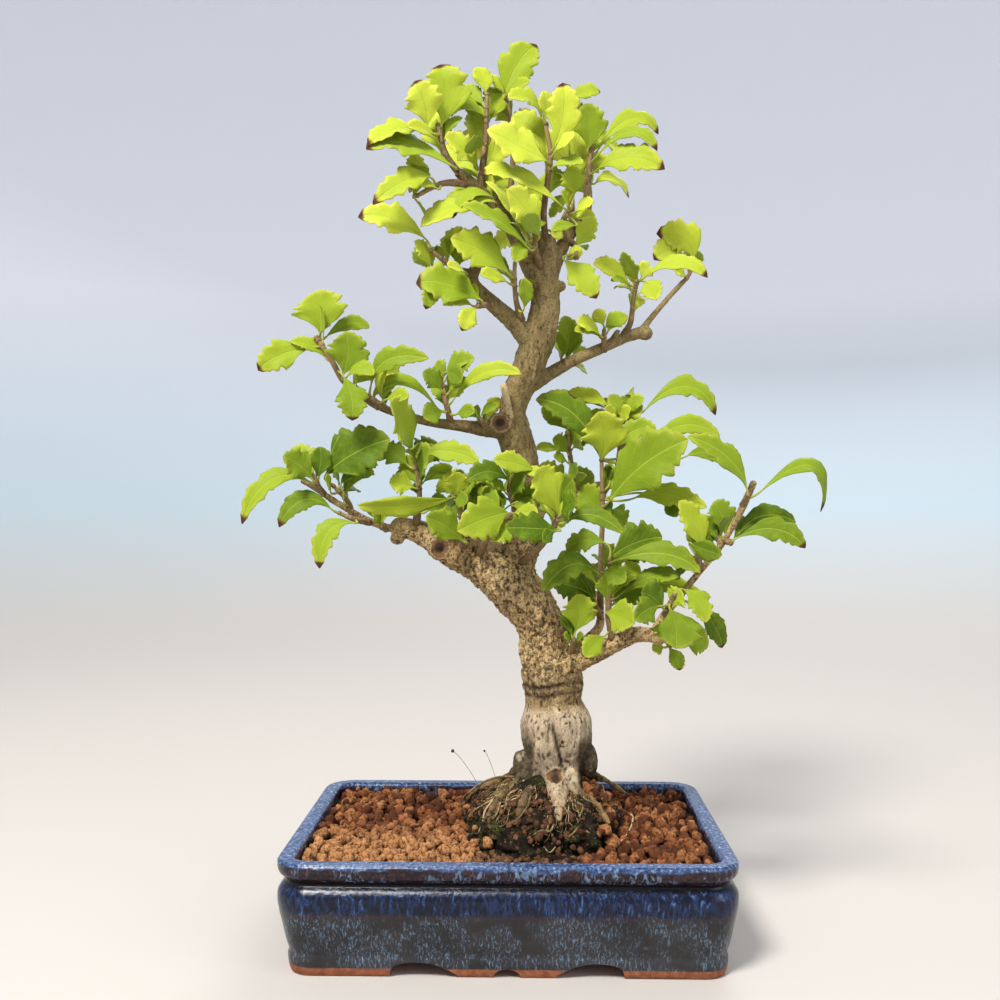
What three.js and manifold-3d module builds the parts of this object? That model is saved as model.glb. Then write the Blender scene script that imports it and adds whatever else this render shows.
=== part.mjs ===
// Rose of sharon bonsai (Hibiscus syriacus) in its glazed pot.
// Millimetres, +Z up, the pot's long side along X and its front towards -Y.
// The origin is on the surface the pot stands on, under the middle of the whole object.
import * as THREE from 'three';
import { mergeVertices } from 'three/addons/utils/BufferGeometryUtils.js';
import Module from 'manifold-3d';

const wasm = await Module();
wasm.setup();

// Driving dimensions of the pot
const POT_WIDTH = 206;
const POT_DEPTH = 145;
const POT_HEIGHT = 50.5;
const POT_CORNER = 16;
const RIM_WIDTH = 8;
const WALL = 7;
const FLOOR_THICKNESS = 6;
const FOOT_HEIGHT = 6.2;
const FOOT_INSET = 6.3;
const FOOT_SKIRT = 11;
const DRAIN_HOLE_RADIUS = 8;
const DRAIN_HOLE_SPREAD = 92;
const DRAIN_HOLE_SIDES = 16;
const CORNER_STEPS = 3;
const LEAST_CORNER = 3;

// Driving dimensions of the plant
const CLEARANCE = 0.35;
const WELD = 1e-4;
const BLADE_THICKNESS = 0.7;
const STALK_WIDTH = 1.5;
const STALK_TURN_COST = 6;
const TRUNK_SIDES = 10;
const UPPER_TRUNK_SIDES = 8;
const TRUNK_GNARL = 0.05;
const TWIG_SIDES = 4;
const KNOB_SIDES = 6;
const KNOB_RINGS = 4;
const SWING_STEP = 4;
const SWING_TRIES = 6;
const SCREEN_SIZE = 24;
const SCREEN_THICKNESS = 0.8;
const SCREEN_BAR = 1.6;
const SCREEN_MESHES = 2;
const SOIL_LEVEL = 46.5;
const SOIL_RISE = { height: 4, centre: [17.5, -12], spread: [40, 27] };
const SOIL_COLUMNS = 16;
const SOIL_ROWS = 11;
const GRAIN_RELIEF = 1.5;
const MOUND = { centre: [16.5, -4, 46], radius: [39, 45, 27], sides: 12, rings: 8 };
const SIGHT_STEP = 0.5;
const SIGHT_END = 20;

// Places on the tree are read on an upright sheet through the trunk, facing the front.
// s runs to the right and t runs down, both in real millimetres on the sheet.
// A point that lies off the sheet slides along the line from an eye in front of the tree.
const SHEET_CENTRE = 250;
const EYE = new THREE.Vector3(-4.5, -537, 209.5);

function place(s, t, away) {
  const reach = 1 - away / EYE.y;
  const x = EYE.x + (s - SHEET_CENTRE) * reach;
  const z = EYE.z + (SHEET_CENTRE - t) * reach;
  return new THREE.Vector3(x, away, z);
}

// Limbs of the tree: rows of s, t, distance behind the sheet, radius
const TRUNK_LOWER = [
  [280, 418, -2, 4], [280, 408, -2, 6], [279.5, 398, -2, 8.2], [279, 390, -1, 10.8],
  [278, 380, 0, 14.2], [278, 370, 0, 17.4], [278, 360, 0, 17.6], [277, 350, 0, 13.8],
  [277, 340, 0, 16], [273, 327, 0, 12.4], [271, 314, 0, 11.9], [264, 302, 0, 12.6],
  [252, 289, 0, 13], [240, 281, 0, 11], [228, 276, -1, 9.2], [216, 269, -2, 7], [204, 264, -2, 5],
];
const TRUNK_UPPER = [
  [256, 287, 2, 9], [261, 272, 2, 8.6], [263.5, 256, 2, 8], [263, 240, 1, 7.8], [261, 229, 0, 8],
  [257.2, 217, 0, 8.9], [256.5, 206, 0, 6.5], [258.6, 197, 0, 7.2], [263.7, 186, 0, 7.8],
  [268.7, 170, 0, 8.3], [272.2, 156, 0, 7.8], [272.5, 143, 0, 6.6], [273, 130, 0, 6.2],
  [272.5, 118, 0, 5.2],
];
const BRANCHES = [
  { sides: 6, path: [[264, 170, -3.5, 5], [257, 161, -5, 4.6], [249, 154, -7, 4.2],
    [240, 146, -8.5, 3.8], [236, 140, -10, 3.4], [239, 132, -10, 2.8]] },
  { sides: 6, path: [[275, 138, 1.5, 4.4], [279, 127, 5, 3.8], [285, 117, 8.5, 3.4],
    [292, 108, 12, 3], [293.6, 98, 13.5, 2.5], [293, 90, 15.5, 2.1]] },
  { sides: 6, path: [[269, 142, -1.5, 5], [262, 127, -5, 4.2], [252, 108, -10, 3.5],
    [240, 95, -15.5, 3], [229, 85.5, -20.5, 2.5]] },
  { sides: 6, path: [[266, 192, 1.5, 4.4], [275, 186.6, 7, 3.6], [285, 181, 10, 3.1],
    [300, 174.4, 13.5, 2.9], [313, 168.5, 20.5, 3], [321.5, 166, 24, 3.4]] },
  { sides: 4, path: [[319, 167, 24, 2], [325, 159, 27, 1.7], [333, 149.5, 30.5, 1.5],
    [340.7, 141, 34, 1.5]] },
  { sides: 4, path: [[304, 173, 15.5, 1.9], [306.5, 169, 13.5, 1.8], [309, 165, 12, 1.4]] },
  { sides: 6, path: [[256, 215, -1.5, 5], [245, 214.6, -5, 4.1], [231, 212.8, -10, 3],
    [216, 211, -13.5, 2.4], [200, 207, -18.5, 2.1], [188, 202.6, -24, 1.8]] },
  { sides: 4, path: [[256, 211, -3, 2.4], [254.5, 206, -8, 1.8], [253.6, 200, -10.6, 1.6],
    [252, 192, -12.4, 1.5]] },
  { sides: 4, path: [[206, 265, -5, 3], [197, 264.6, -7, 2.1], [183.4, 260, -13.5, 1.9],
    [174, 254.7, -17, 1.8], [165.5, 249.4, -20.5, 1.7], [158, 244.2, -24, 1.5],
    [150.5, 240, -25.5, 1.3]] },
  { sides: 6, path: [[277, 338, -3.5, 8], [284.4, 333, -8.5, 6], [298, 326.4, -12, 4.9],
    [310, 320.4, -15.5, 4.3], [319, 316.8, -18.5, 4], [328, 318, -20.5, 3.6]] },
  { sides: 6, path: [[276, 334, 0, 5], [285, 327, 3.5, 3.6], [294, 319.4, 7, 2.9],
    [299.6, 312.5, 10, 2.4], [299.6, 304, 12, 1.9]] },
  { sides: 4, path: [[327, 317.5, -18.5, 2.6], [331, 309, -17, 2.1], [337, 302, -17, 1.8],
    [342, 295.6, -18.5, 1.8], [350, 285.6, -24, 1.7], [359, 275.2, -29, 1.6], [365, 266, -34, 1.6],
    [371.7, 253.5, -37.5, 1.9], [377.6, 240.4, -41, 1.7]] },
  { sides: 6, path: [[266, 264, 8.5, 4], [272, 252, 27, 3], [284, 247.5, 37.5, 2.6],
    [297, 243, 42.5, 2.5], [305, 242, 44, 2.5], [308, 235, 44, 2.4], [313.6, 219, 44, 2.6]] },
  { sides: 4, path: [[252, 283, 8, 4.4], [247, 271, 24, 3.2], [240, 260, 38, 2.2]] },
  { sides: 4, path: [[276, 324, 8, 5], [286, 311, 24, 3.6], [298, 299, 38, 2.4]] },
  { sides: 4, path: [[272, 136, 4, 4], [269, 128, 21, 2.8], [264, 120, 37, 2]] },
];
// Surface roots: where each leaves the trunk, then rows of s, t, radius where it is seen on the
// ground, or rows of x, y, radius where the trunk hides it
const ROOTS = [
  { start: [271, 378, -8, 5], seen: [[267, 388, 3], [264, 398, 2.4], [260, 407, 1.7]] },
  { start: [268, 380, -5, 4], seen: [[258, 391, 2.3], [249, 401, 1.8], [241, 415, 1.3]] },
  { start: [268, 378, 3, 4], seen: [[252, 389, 1.8], [240, 394, 1.5], [231, 403, 1.3]] },
  { start: [285, 384, -7, 5], seen: [[289, 396, 2.8], [298, 401, 2], [305, 412, 1.5]] },
  { start: [288, 378, 0, 4.4], seen: [[295, 387, 2.2], [303, 390, 1.7], [311, 396, 1.3]] },
  { start: [278, 376, 8, 5], hidden: [[16.5, 20, 3], [6.5, 32, 2.2], [-0.5, 45, 1.5]] },
  { start: [284, 376, 8, 4], hidden: [[35.5, 18, 2.6], [44.5, 30, 1.7]] },
];
const KNOBS = [
  { at: [201, 263.5, -3], radius: [6.5, 5.4, 5.2] },
  { at: [198.5, 269.4, -3], radius: [3.8, 3, 3.2] },
  { at: [220, 273.8, -7.5], radius: [6.2, 3.6, 6] },
  { at: [250.5, 211, -6], radius: [5.4, 3.8, 4.8] },
  { at: [279.5, 143.2, -2], radius: [3.4, 3.4, 3] },
  { at: [322, 167, 24], radius: [4, 3.8, 3.8] },
  { at: [329.5, 318, -20], radius: [4.4, 4, 4.2] },
  { at: [261.5, 382, -3], radius: [5, 5.6, 7] },
  { at: [294, 380, -2], radius: [5, 5.6, 8] },
];

// Leafy shoots. A twig is rows of s, t, distance behind the sheet, radius.
// A leaf is: blade base s, t; tip s, t; how far the tip leans back from the twig; width;
// turn of the blade about its length (0 faces the front, 90 is edge-on), of which TURN_SHARE is
// used; and, for a bowed leaf, a point s, t halfway along, between its midrib and its outer edge.
const SHOOTS = {
  shoot_crown_left_outer: {
    twig: [[231, 88, -18.5, 2], [224, 78, -21, 1.7], [221, 69, -23, 1.4], [219.5, 62, -24, 1.1]],
    leaves: [
      [214, 63, 208, 40, -10, 17, 10],
      [221.5, 62, 220.5, 31, -3, 22, 12],
      [215, 66, 184, 70, -17, 15, 74, 199, 60.5],
      [222, 68, 225, 59, 10, 7, 20],
      [221, 76, 214, 58, 14, 15, 40],
      [227, 83, 183.5, 71, -24, 19, 62, 205, 67],
      [219, 60, 232, 53, 20, 12, 130],
    ],
  },
  shoot_crown_left_inner: {
    twig: [[240, 97, -15.5, 2.3], [241.5, 85, -15.5, 1.9], [243, 70, -13.5, 1.8],
      [243.5, 56, -13.5, 1.2], [244, 47, -13.5, 1]],
    leaves: [
      [237.5, 82, 235, 56, 7, 14, 55],
      [239.5, 84, 223, 68, -14, 17, 35],
      [241.5, 52, 230, 44, 7, 9, 40],
      [243, 58, 225.5, 49.5, -8, 13, 60, 234, 50.5],
      [243, 46, 238, 33.5, 5, 10, 30],
      [245, 60, 246, 43, 12, 12, 30],
      [243, 72, 233, 75, -14, 8, 120],
    ],
  },
  shoot_crown_top: {
    twig: [[253, 111, -8.5, 1.9], [255.5, 92, 0, 1.6], [256.5, 74, 1.5, 1.4], [255, 59, 0, 1.3],
      [252, 46, 0, 1.1]],
    leaves: [
      [252, 49, 268.5, 21, 3, 18, 10],
      [254, 47, 265, 41, -10, 8, 30],
      [252, 47, 244, 38, -7, 9, 45],
      [256, 62, 247, 53, 17, 11, 35],
      [257, 72, 266, 57, 20, 13, 25],
    ],
  },
  shoot_crown_centre: {
    twig: [[273, 121, -3.5, 2], [272, 107, -8.5, 1.7], [274, 91, -10, 1.6], [275.5, 77, -12, 1.4],
      [273, 62, -13.5, 1.1]],
    leaves: [
      [271.5, 59, 254.5, 49, -10, 12, 62, 266, 45.5],
      [272.5, 60, 272, 45.5, -3, 8, 25],
      [277, 74, 282, 41, -7, 16, 10],
      [273.5, 80.5, 244.5, 64.5, -17, 22, 38, 261, 74],
      [274.5, 76, 256, 57.5, 8, 16, 30],
      [278, 76, 288, 68, -10, 9, 40],
      [276.5, 84, 292, 82, -7, 10, 72, 284, 79],
    ],
  },
  shoot_crown_right_top: {
    twig: [[293.2, 93, 14.5, 2.1], [294.6, 81, 15.5, 1.7], [294.4, 67, 15.5, 1.3], [288, 54, 13.5, 1]],
    leaves: [
      [285, 50, 300, 45.2, 3, 9, 40],
      [293.5, 75, 292, 52, -8, 17, 15],
      [298, 76, 330, 66, 10, 11, 40, 313, 56.5],
      [298.5, 78, 329, 74, -17, 8, 50, 315, 64],
      [298.5, 85, 332, 83, -18, 16, 38, 313, 73.5],
      [297, 92, 314.6, 98.6, -7, 10, 60, 306, 87],
      [292, 66, 283, 58, 17, 12, 30],
      [297, 70, 309, 76, 20, 12, 40],
    ],
  },
  shoot_crown_right_low: {
    twig: [[282, 121, 5, 2.3], [281.5, 111, -5, 1.7], [285.5, 104, -9, 1.3]],
    leaves: [
      [282, 104, 241.5, 84.5, -14, 14, 58, 262, 84.5],
      [288, 106, 297, 101, -7, 8, 40],
      [284.5, 105, 281, 96.5, -10, 10, 30],
      [287, 98, 284, 84, -7, 12, 20],
      [280, 112, 276, 117, -8, 7, 40, 281, 117.5],
      [288, 113, 276.5, 115.5, -14, 6, 55],
    ],
  },
  shoot_crown_right_mid: {
    twig: [[284, 120, 7, 2.2], [288, 124, 2, 1.6], [288, 129, -5, 1.2]],
    leaves: [
      [287, 123.5, 296.5, 108, 10, 11, 30, 293, 116.5],
      [282, 130, 298.5, 148.5, -10, 14, 20, 292, 137],
      [284, 129, 291.5, 126.5, -3, 9, 40],
    ],
  },
  shoot_crown_front: {
    twig: [[270.5, 134, -5, 2.1], [268, 124, -13.5, 1.6], [268.5, 114, -20.5, 1.2]],
    leaves: [
      [270, 117, 254, 95, -10, 18, 8],
      [264.5, 122, 244, 90, 7, 10, 58],
      [264.5, 124, 232, 102, -3, 14, 60],
      [264, 121, 258, 131, -10, 8, 40],
      [270, 118, 263, 108, -14, 9, 120],
    ],
  },
  shoot_crown_left_low: {
    twig: [[236, 92, -17, 2.4], [222, 91.5, -24, 1.5], [209, 97.5, -27, 1.2]],
    leaves: [
      [207, 98, 207, 76, 3, 12, 50],
      [216, 88.5, 187, 100, -17, 13, 58, 204, 85.5],
      [219, 94, 206, 90, -10, 7, 50],
      [208, 99, 214, 111, 14, 11, 60],
    ],
  },
  shoot_crown_limb: {
    twig: [[254, 111, -8.5, 2.1], [250.5, 103, -17, 1.6], [248, 97.5, -22, 1.2]],
    leaves: [
      [248, 101, 211, 113, -10, 15, 58, 229, 97],
      [248, 99, 226, 108, 8, 12, 66, 233, 94],
      [246.5, 98, 240, 88, 10, 8, 40],
    ],
  },
  shoot_crown_stub_left: {
    twig: [[238, 137, -10, 2.4], [228, 134, -17, 1.6], [216, 125, -22, 1.2]],
    leaves: [
      [213, 119, 180, 106, -14, 15, 38, 199.8, 104.1],
      [215, 134, 208, 120, -5, 12, 42],
      [224, 131, 231, 113, 8, 11, 45, 223, 120],
      [233, 136, 224.5, 133, -14, 7, 55],
      [221, 139, 214, 154, -10, 8, 40],
      [219, 127, 207, 131, 14, 12, 120],
    ],
  },
  shoot_crown_twig: {
    twig: [[261, 160, -7, 2.2], [258.5, 151, -13.5, 1.5], [257.6, 139, -17, 1.3], [258, 130, -17, 1.1]],
    leaves: [
      [254.5, 136.5, 226, 119, -10, 18, 12],
      [254, 141, 241, 137.5, -14, 9, 50],
      [262.5, 154, 262, 139, -7, 7, 30],
    ],
  },
  shoot_stub_branch: {
    twig: [[246, 152, -7, 2.4], [242, 152.5, -15.5, 1.6], [239, 153, -20.5, 1.2]],
    leaves: [
      [241, 150, 209, 140, -7, 20, 28],
      [238.5, 154, 232, 165, -10, 9, 38],
    ],
  },
  shoot_crown_back_left: {
    twig: [[255, 114, -7.5, 2.2], [247, 100, 23, 1.6], [239, 88, 40, 1.2]],
    leaves: [
      [238, 87, 222, 72, 10, 17, 20],
      [239, 87, 247, 70, 7, 16, 30],
      [239, 90, 226, 97, 12, 14, 40],
      [243, 95, 257, 86, 12, 15, 40],
      [246, 100, 233, 103, 8, 14, 110],
    ],
  },
  shoot_crown_back_right: {
    twig: [[286, 115, 6, 2.2], [285, 98, 29.5, 1.6], [284, 84, 46.5, 1.2]],
    leaves: [
      [284, 83, 289, 60, 8, 17, 20],
      [283, 84, 267, 67, 8, 17, 20],
      [285, 88, 303, 80, 12, 15, 45],
      [284, 92, 268, 92, 14, 14, 30],
      [285, 98, 274, 109, 12, 13, 40],
      [285, 97, 296, 88, 7, 14, 110],
    ],
  },
  shoot_crown_back_low: {
    twig: [[267, 125, 29.5, 2], [262, 116, 46.5, 1.5], [258, 108, 59, 1.2]],
    leaves: [
      [257, 107, 244, 96, 7, 16, 20],
      [258, 107, 270, 92, 7, 16, 30],
      [261, 115, 246, 124, 10, 15, 30],
      [262, 118, 277, 126, 10, 13, 40],
      [259, 110, 259, 90, 12, 14, 60],
    ],
  },
  shoot_trunk_back: {
    twig: [[279, 184, 8.5, 2], [283, 180.5, 20.5, 1.3]],
    leaves: [
      [282.5, 179, 281.5, 158, 7, 14, 30],
      [280.5, 179.5, 276, 172, 20, 9, 150],
      [286, 181, 293, 175, 14, 8, 50],
      [287, 183, 292.5, 186.5, 14, 7, 50],
    ],
  },
  shoot_right_upper_tip: {
    twig: [[339.5, 142.5, 33.5, 1.3], [343, 138.5, 35.5, 1.2], [345.5, 133.5, 37.5, 1]],
    leaves: [
      [345, 131, 327.8, 116.8, -7, 18, 18, 345.8, 115],
      [341, 130, 326.7, 129.5, -14, 14, 32, 334, 120.5],
      [342, 139, 335, 134.5, -7, 8, 40],
      [347, 132, 349.5, 127, 7, 6, 40],
    ],
  },
  shoot_right_upper_mid: {
    twig: [[311, 167.6, 20.5, 2], [314.5, 162, 19.5, 1.7], [316, 151, 17, 1.3],
      [317.8, 141, 13.5, 1.1]],
    leaves: [
      [318.5, 141, 311.2, 126, -7, 14, 14, 315.5, 134.5],
      [322.5, 138.5, 354, 137.5, -14, 10, 56, 338, 128.5],
      [314.5, 144, 296.5, 132, -10, 10, 34, 307.5, 131.5],
      [313.5, 142, 306, 140, -17, 5, 55],
      [321.5, 141, 328, 150.5, -14, 11, 24, 326.5, 143],
      [320, 139, 324.5, 133, 7, 9, 30],
    ],
  },
  shoot_right_upper_low: {
    twig: [[301.5, 176, 12, 2.1], [301.7, 169, 8.5, 1.4], [301.9, 164, 7, 1]],
    leaves: [
      [299.5, 167.5, 288.5, 161.7, -7, 9, 45, 295, 159.5],
      [302.5, 164, 312.6, 158.5, 5, 9, 45],
      [301.5, 163, 296.5, 155.5, 7, 7, 45],
    ],
  },
  shoot_left_mid_tip: {
    twig: [[190, 203.6, -23, 2.1], [179, 196.4, -25.5, 1.8], [171.6, 189.6, -27, 1.6],
      [166.5, 180.5, -29, 1.5], [161.3, 172.6, -30.5, 1.4], [157.6, 167.6, -30.5, 1.2]],
    leaves: [
      [160.2, 166, 157, 145.5, 0, 24, 8],
      [163.5, 168, 185, 163.7, 10, 8, 40, 174.5, 158.5],
      [160.5, 167, 164, 151, 18, 12, 20],
      [172, 187, 173.5, 165.5, -4, 19, 10],
      [156, 173.5, 128.7, 184.2, -6, 14, 15],
      [174, 188, 187.6, 187.4, -7, 8, 42, 181, 181],
      [177, 192, 187, 184.5, 10, 9, 60],
      [172.5, 188.5, 176.6, 209.5, -8, 14, 10],
      [178.8, 195, 177.8, 187, -7, 3, 10],
    ],
  },
  shoot_left_mid_middle: {
    twig: [[201, 208, -17, 2], [192, 203, -25.5, 1.5], [185, 198, -29, 1.2]],
    leaves: [
      [186, 192.5, 215, 178.8, -10, 11, 28, 193, 175.5],
      [194, 199.5, 205, 198.5, -10, 8, 40],
      [188, 196, 199, 181, 20, 12, 30],
    ],
  },
  shoot_left_mid_root: {
    twig: [[226, 213.4, -10, 2.2], [224.5, 206, -15.5, 1.6], [222.5, 198, -15.5, 1.4],
      [221, 189, -15.5, 1.1]],
    leaves: [
      [219, 204, 186.6, 198.4, -10, 7, 50, 202, 187.5],
      [221, 195, 212, 186, -7, 11, 20],
      [221, 191, 218, 181.5, 7, 12, 20],
      [223, 187, 237.5, 179, 3, 12, 25],
      [224, 186, 231.5, 191, -14, 9, 25],
      [227, 200, 261.3, 187, -12, 8, 30, 242, 183],
      [221.5, 206, 212.5, 209, -10, 10, 22],
      [229, 207, 238, 206.5, -14, 7, 35],
      [224, 200, 231, 186, 24, 12, 30],
    ],
  },
  shoot_left_mid_spur: {
    twig: [[243, 214, -7, 2], [240.5, 209.5, -15.5, 1.2]],
    leaves: [
      [240.7, 208, 249.7, 202.3, -5, 5, 30, 244, 202.5],
      [239, 209.5, 238, 205.5, -5, 5, 30],
    ],
  },
  shoot_left_low_tip: {
    twig: [[162, 247, -22, 1.9], [159.4, 243, -28, 1.5], [156.5, 236.5, -30.5, 1.2]],
    leaves: [
      [155.5, 241, 119.7, 261.5, -10, 11, 50, 134, 236.5],
      [156.5, 239.5, 142, 228, -8, 15, 20],
      [158.5, 238.5, 160, 223, 5, 10, 36],
      [157, 238, 146, 223.5, 14, 12, 60],
    ],
  },
  shoot_left_low_mid: {
    twig: [[176, 257, -14.5, 1.9], [173.6, 250, -18.5, 1.4], [167, 243, -22, 1.2]],
    leaves: [
      [163, 237.5, 195.5, 219.5, -8, 24, 20, 174, 222],
      [173, 246, 188.5, 223, 8, 15, 10, 176, 231],
      [165.5, 246, 163, 238.5, -10, 8, 15],
      [169.5, 241, 164.5, 232, 8, 9, 150],
      [172, 251, 171, 243.5, -8, 6, 30],
    ],
  },
  shoot_left_low_front: {
    twig: [[185, 261.4, -13.5, 1.9], [177, 259.6, -24.5, 1.4], [170, 256.5, -27, 1.1]],
    leaves: [
      [166, 254.5, 139, 263, -12, 10, 45, 151, 246.5],
      [177.5, 261.5, 159.5, 284, -12, 11, 38, 161.5, 263],
    ],
  },
  shoot_left_low_spur: {
    twig: [[193, 264.6, -8, 2.1], [190.5, 263.5, -15.5, 1.1]],
    leaves: [
      [190, 262.5, 186, 255, -7, 9, 30],
      [190.5, 262, 194, 256.5, -5, 7, 40],
    ],
  },
  shoot_left_centre_top: {
    twig: [[208, 262, -5, 2.4], [210, 250, -13.5, 1.5], [209.5, 241, -15.5, 1.3],
      [207, 229, -15.5, 1.1]],
    leaves: [
      [206.5, 227, 196, 201, -4, 25, 10],
      [208.5, 227, 240, 231.5, -7, 11, 32, 226, 221.5],
      [210.5, 240, 216, 224.5, -12, 17, 10],
      [208.5, 242, 201.5, 229, 5, 14, 14],
      [207.5, 244, 195, 241.5, -5, 11, 25],
      [212, 241, 226.5, 233.5, 7, 7, 36],
      [204, 232.5, 189.5, 224, 8, 12, 36],
      [208, 232, 219, 222, 20, 15, 60],
      [214, 255.5, 224.5, 251, -5, 10, 18],
    ],
  },
  shoot_left_centre: {
    twig: [[232, 274, -12, 2.2], [231.5, 262, -17, 1.5], [229.5, 252, -18.5, 1.3],
      [228, 247.5, -18.5, 1.1]],
    leaves: [
      [227.5, 247.5, 228, 236, -7, 12, 10],
      [226, 247, 220.5, 239, 7, 13, 24],
      [230, 247.5, 239, 240, -5, 9, 38],
      [228, 250, 234.5, 251.5, -12, 8, 30],
      [226, 249, 179.2, 253, -14, 10, 44, 204, 256],
      [232.5, 271, 213.5, 258.5, -10, 14, 20, 225, 260.5],
      [227, 257, 222.5, 255, -7, 5, 50],
      [229, 250, 222, 258, 20, 14, 40],
      [230, 252, 241, 258, 24, 14, 50],
    ],
  },
  shoot_centre_front: {
    twig: [[240, 277, -8.5, 2.2], [243.5, 270.5, -22, 1.7], [249, 263, -30.5, 1.4],
      [256, 257.5, -35.5, 1.1]],
    leaves: [
      [255, 256.5, 229.7, 265.5, -10, 19, 14, 244, 256],
      [258, 256.5, 270, 257.5, -8, 8, 36],
      [253, 255.5, 239.5, 250, 7, 9, 42],
      [260, 262, 246, 270, -5, 12, 22],
      [242, 268, 237, 266.5, -8, 6, 36],
      [249, 262, 236, 246, 20, 15, 40],
    ],
  },
  shoot_centre_right: {
    twig: [[261, 281, -5.5, 2.2], [269, 275, -24, 1.9], [277, 265, -32.5, 1.5],
      [280, 258.5, -35.5, 1.2]],
    leaves: [
      [281, 259, 269, 235, -8, 22, 10, 274, 242],
      [276.5, 260, 268, 243, 8, 15, 160],
      [281.5, 257, 289.5, 251, -8, 13, 20],
      [280.5, 265.5, 254, 264, -14, 14, 36, 268, 263],
      [283.5, 261, 313, 267, -10, 8, 40, 298, 254.5],
      [279, 256, 287, 239, 5, 15, 22],
      [277, 266, 273, 271, -14, 6, 40],
    ],
  },
  shoot_centre_top: {
    twig: [[262, 262, -8.5, 2.3], [257, 252, -15.5, 1.6], [255, 243, -17, 1.3], [258, 236, -18.5, 1.1]],
    leaves: [
      [255, 240.5, 234.5, 240, -8, 11, 34, 245, 231.5],
      [268, 235.5, 247.4, 230, -12, 10, 28, 258, 229],
      [261, 236, 273, 237.5, -7, 6, 60],
      [253, 246, 246.5, 241, -7, 6, 38],
      [253, 249, 234, 246, 5, 9, 48],
      [257, 248, 263, 238, -7, 13, 20],
      [257, 250, 270, 247, -7, 11, 40],
      [257, 253, 268, 254.5, -5, 9, 50],
    ],
  },
  shoot_centre_back_left: {
    twig: [[243, 265, 32.5, 2.3], [237, 254, 48.5, 1.6], [232, 246, 59, 1.2]],
    leaves: [
      [232, 247, 220, 238, 7, 14, 20],
      [234, 250, 247, 240, 7, 14, 30],
      [235, 251, 219, 256, 8, 15, 50],
      [237, 254, 252, 250, 10, 15, 40],
      [233, 252, 233, 238, 12, 14, 60],
    ],
  },
  shoot_centre_back_right: {
    twig: [[274, 251, 18, 2.4], [278, 250, 36, 1.6], [280, 247, 52.5, 1.2]],
    leaves: [
      [280, 246, 268, 233, 7, 16, 20],
      [281, 246, 296, 238, 7, 15, 30],
      [280, 249, 266, 256, 8, 15, 50],
      [281, 250, 296, 256, 10, 15, 40],
      [280, 247, 281, 262, 12, 14, 60],
    ],
  },
  shoot_right_centre_left: {
    twig: [[285.5, 247, 37.5, 2.2], [285.8, 237, 27, 1.5], [284.2, 226, 22, 1.3],
      [283.2, 216, 20.5, 1.1]],
    leaves: [
      [283.2, 215, 270, 204, 7, 10, 22],
      [286, 221, 292.5, 212.5, 7, 9, 28],
      [283, 226, 276, 219.5, -5, 11, 18],
      [279, 225, 267.8, 224.5, -10, 6, 55],
      [284.5, 232.5, 287.5, 239, -10, 9, 24],
      [283, 231, 276.5, 228.5, -8, 6, 38],
      [286, 224, 290.5, 222, 14, 7, 40],
    ],
  },
  shoot_right_centre_top: {
    twig: [[299.8, 305, 12, 2], [300, 281, 12, 1.5], [301, 256, 10, 1.4], [300.5, 230, 8.5, 1.1]],
    leaves: [
      [300, 229, 268, 199.5, -7, 16, 28, 291, 203],
      [300.8, 229, 299, 206, -10, 22, 10],
      [302, 228, 327.5, 215, -7, 11, 24, 314, 212],
      [304.5, 250.5, 344, 220, -24, 28, 10],
      [324, 222.5, 359, 218.5, 8, 10, 36, 342, 209],
      [317, 249, 353, 254, -12, 12, 36, 334, 243],
      [332, 250, 338, 258.5, -8, 8, 30],
      [343, 228, 366, 232, 7, 9, 42, 354, 223.5],
      [299, 257, 289, 245, 8, 17, 14],
      [303.5, 256, 312, 263, 7, 15, 18],
      [304.5, 240.5, 301.5, 234.5, 7, 8, 20],
      [302, 244, 306, 233, 14, 9, 30],
    ],
  },
  shoot_right_top_small: {
    twig: [[307.8, 236.5, 42.5, 2.1], [309, 225, 32.5, 1.5], [309.6, 211, 22, 1.3],
      [313, 205, 20.5, 1.1], [316.8, 197, 20.5, 1.5]],
    leaves: [
      [309, 209, 304, 197.5, 3, 9, 28],
      [312, 208, 321.5, 199, -7, 8, 45, 315, 200.5],
      [312, 211, 321, 203, -5, 10, 28],
      [310, 212, 315, 204, -10, 9, 14],
      [308, 212, 302, 204, -7, 9, 28],
      [304, 203.5, 283.5, 196, 5, 9, 50, 295, 196],
      [297, 202, 268.5, 199, 10, 9, 56, 283, 197],
      [321.5, 205.5, 358.5, 207, 3, 11, 36, 342, 189.5],
      [298, 217, 290, 223, 10, 6, 38],
    ],
  },
  shoot_right_long_tip: {
    twig: [[372, 252.5, -37.5, 2.1], [374.5, 247.5, -46, 1.3]],
    leaves: [
      [374, 244.5, 345, 218, -7, 11, 30, 367, 225],
      [381, 245.5, 412.5, 256, 10, 10, 74, 406.5, 230.5],
    ],
  },
  shoot_right_long_mid: {
    twig: [[362.5, 270, -31.5, 1.8], [366, 271.5, -39, 1.2]],
    leaves: [
      [368.5, 269, 403.5, 273.5, -10, 11, 30, 388, 260],
      [369, 267.5, 398, 261, 7, 10, 36, 381, 254],
    ],
  },
  shoot_right_long_left: {
    twig: [[360.4, 273.2, -29.5, 1.7], [359.4, 268.5, -21, 1.2]],
    leaves: [
      [363, 268, 356.5, 251, 5, 13, 15, 364, 256],
      [361, 268, 350, 262, 14, 10, 40],
    ],
  },
  shoot_right_long_low: {
    twig: [[351, 284.4, -24.5, 2], [349, 278, -31.5, 1.3]],
    leaves: [
      [352, 276, 340, 250.5, -5, 13, 12],
      [346, 271.5, 361.5, 277.5, -14, 9, 32, 353, 275.5],
      [346, 281, 338, 290, 10, 10, 60],
    ],
  },
  shoot_right_low_mid: {
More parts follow.
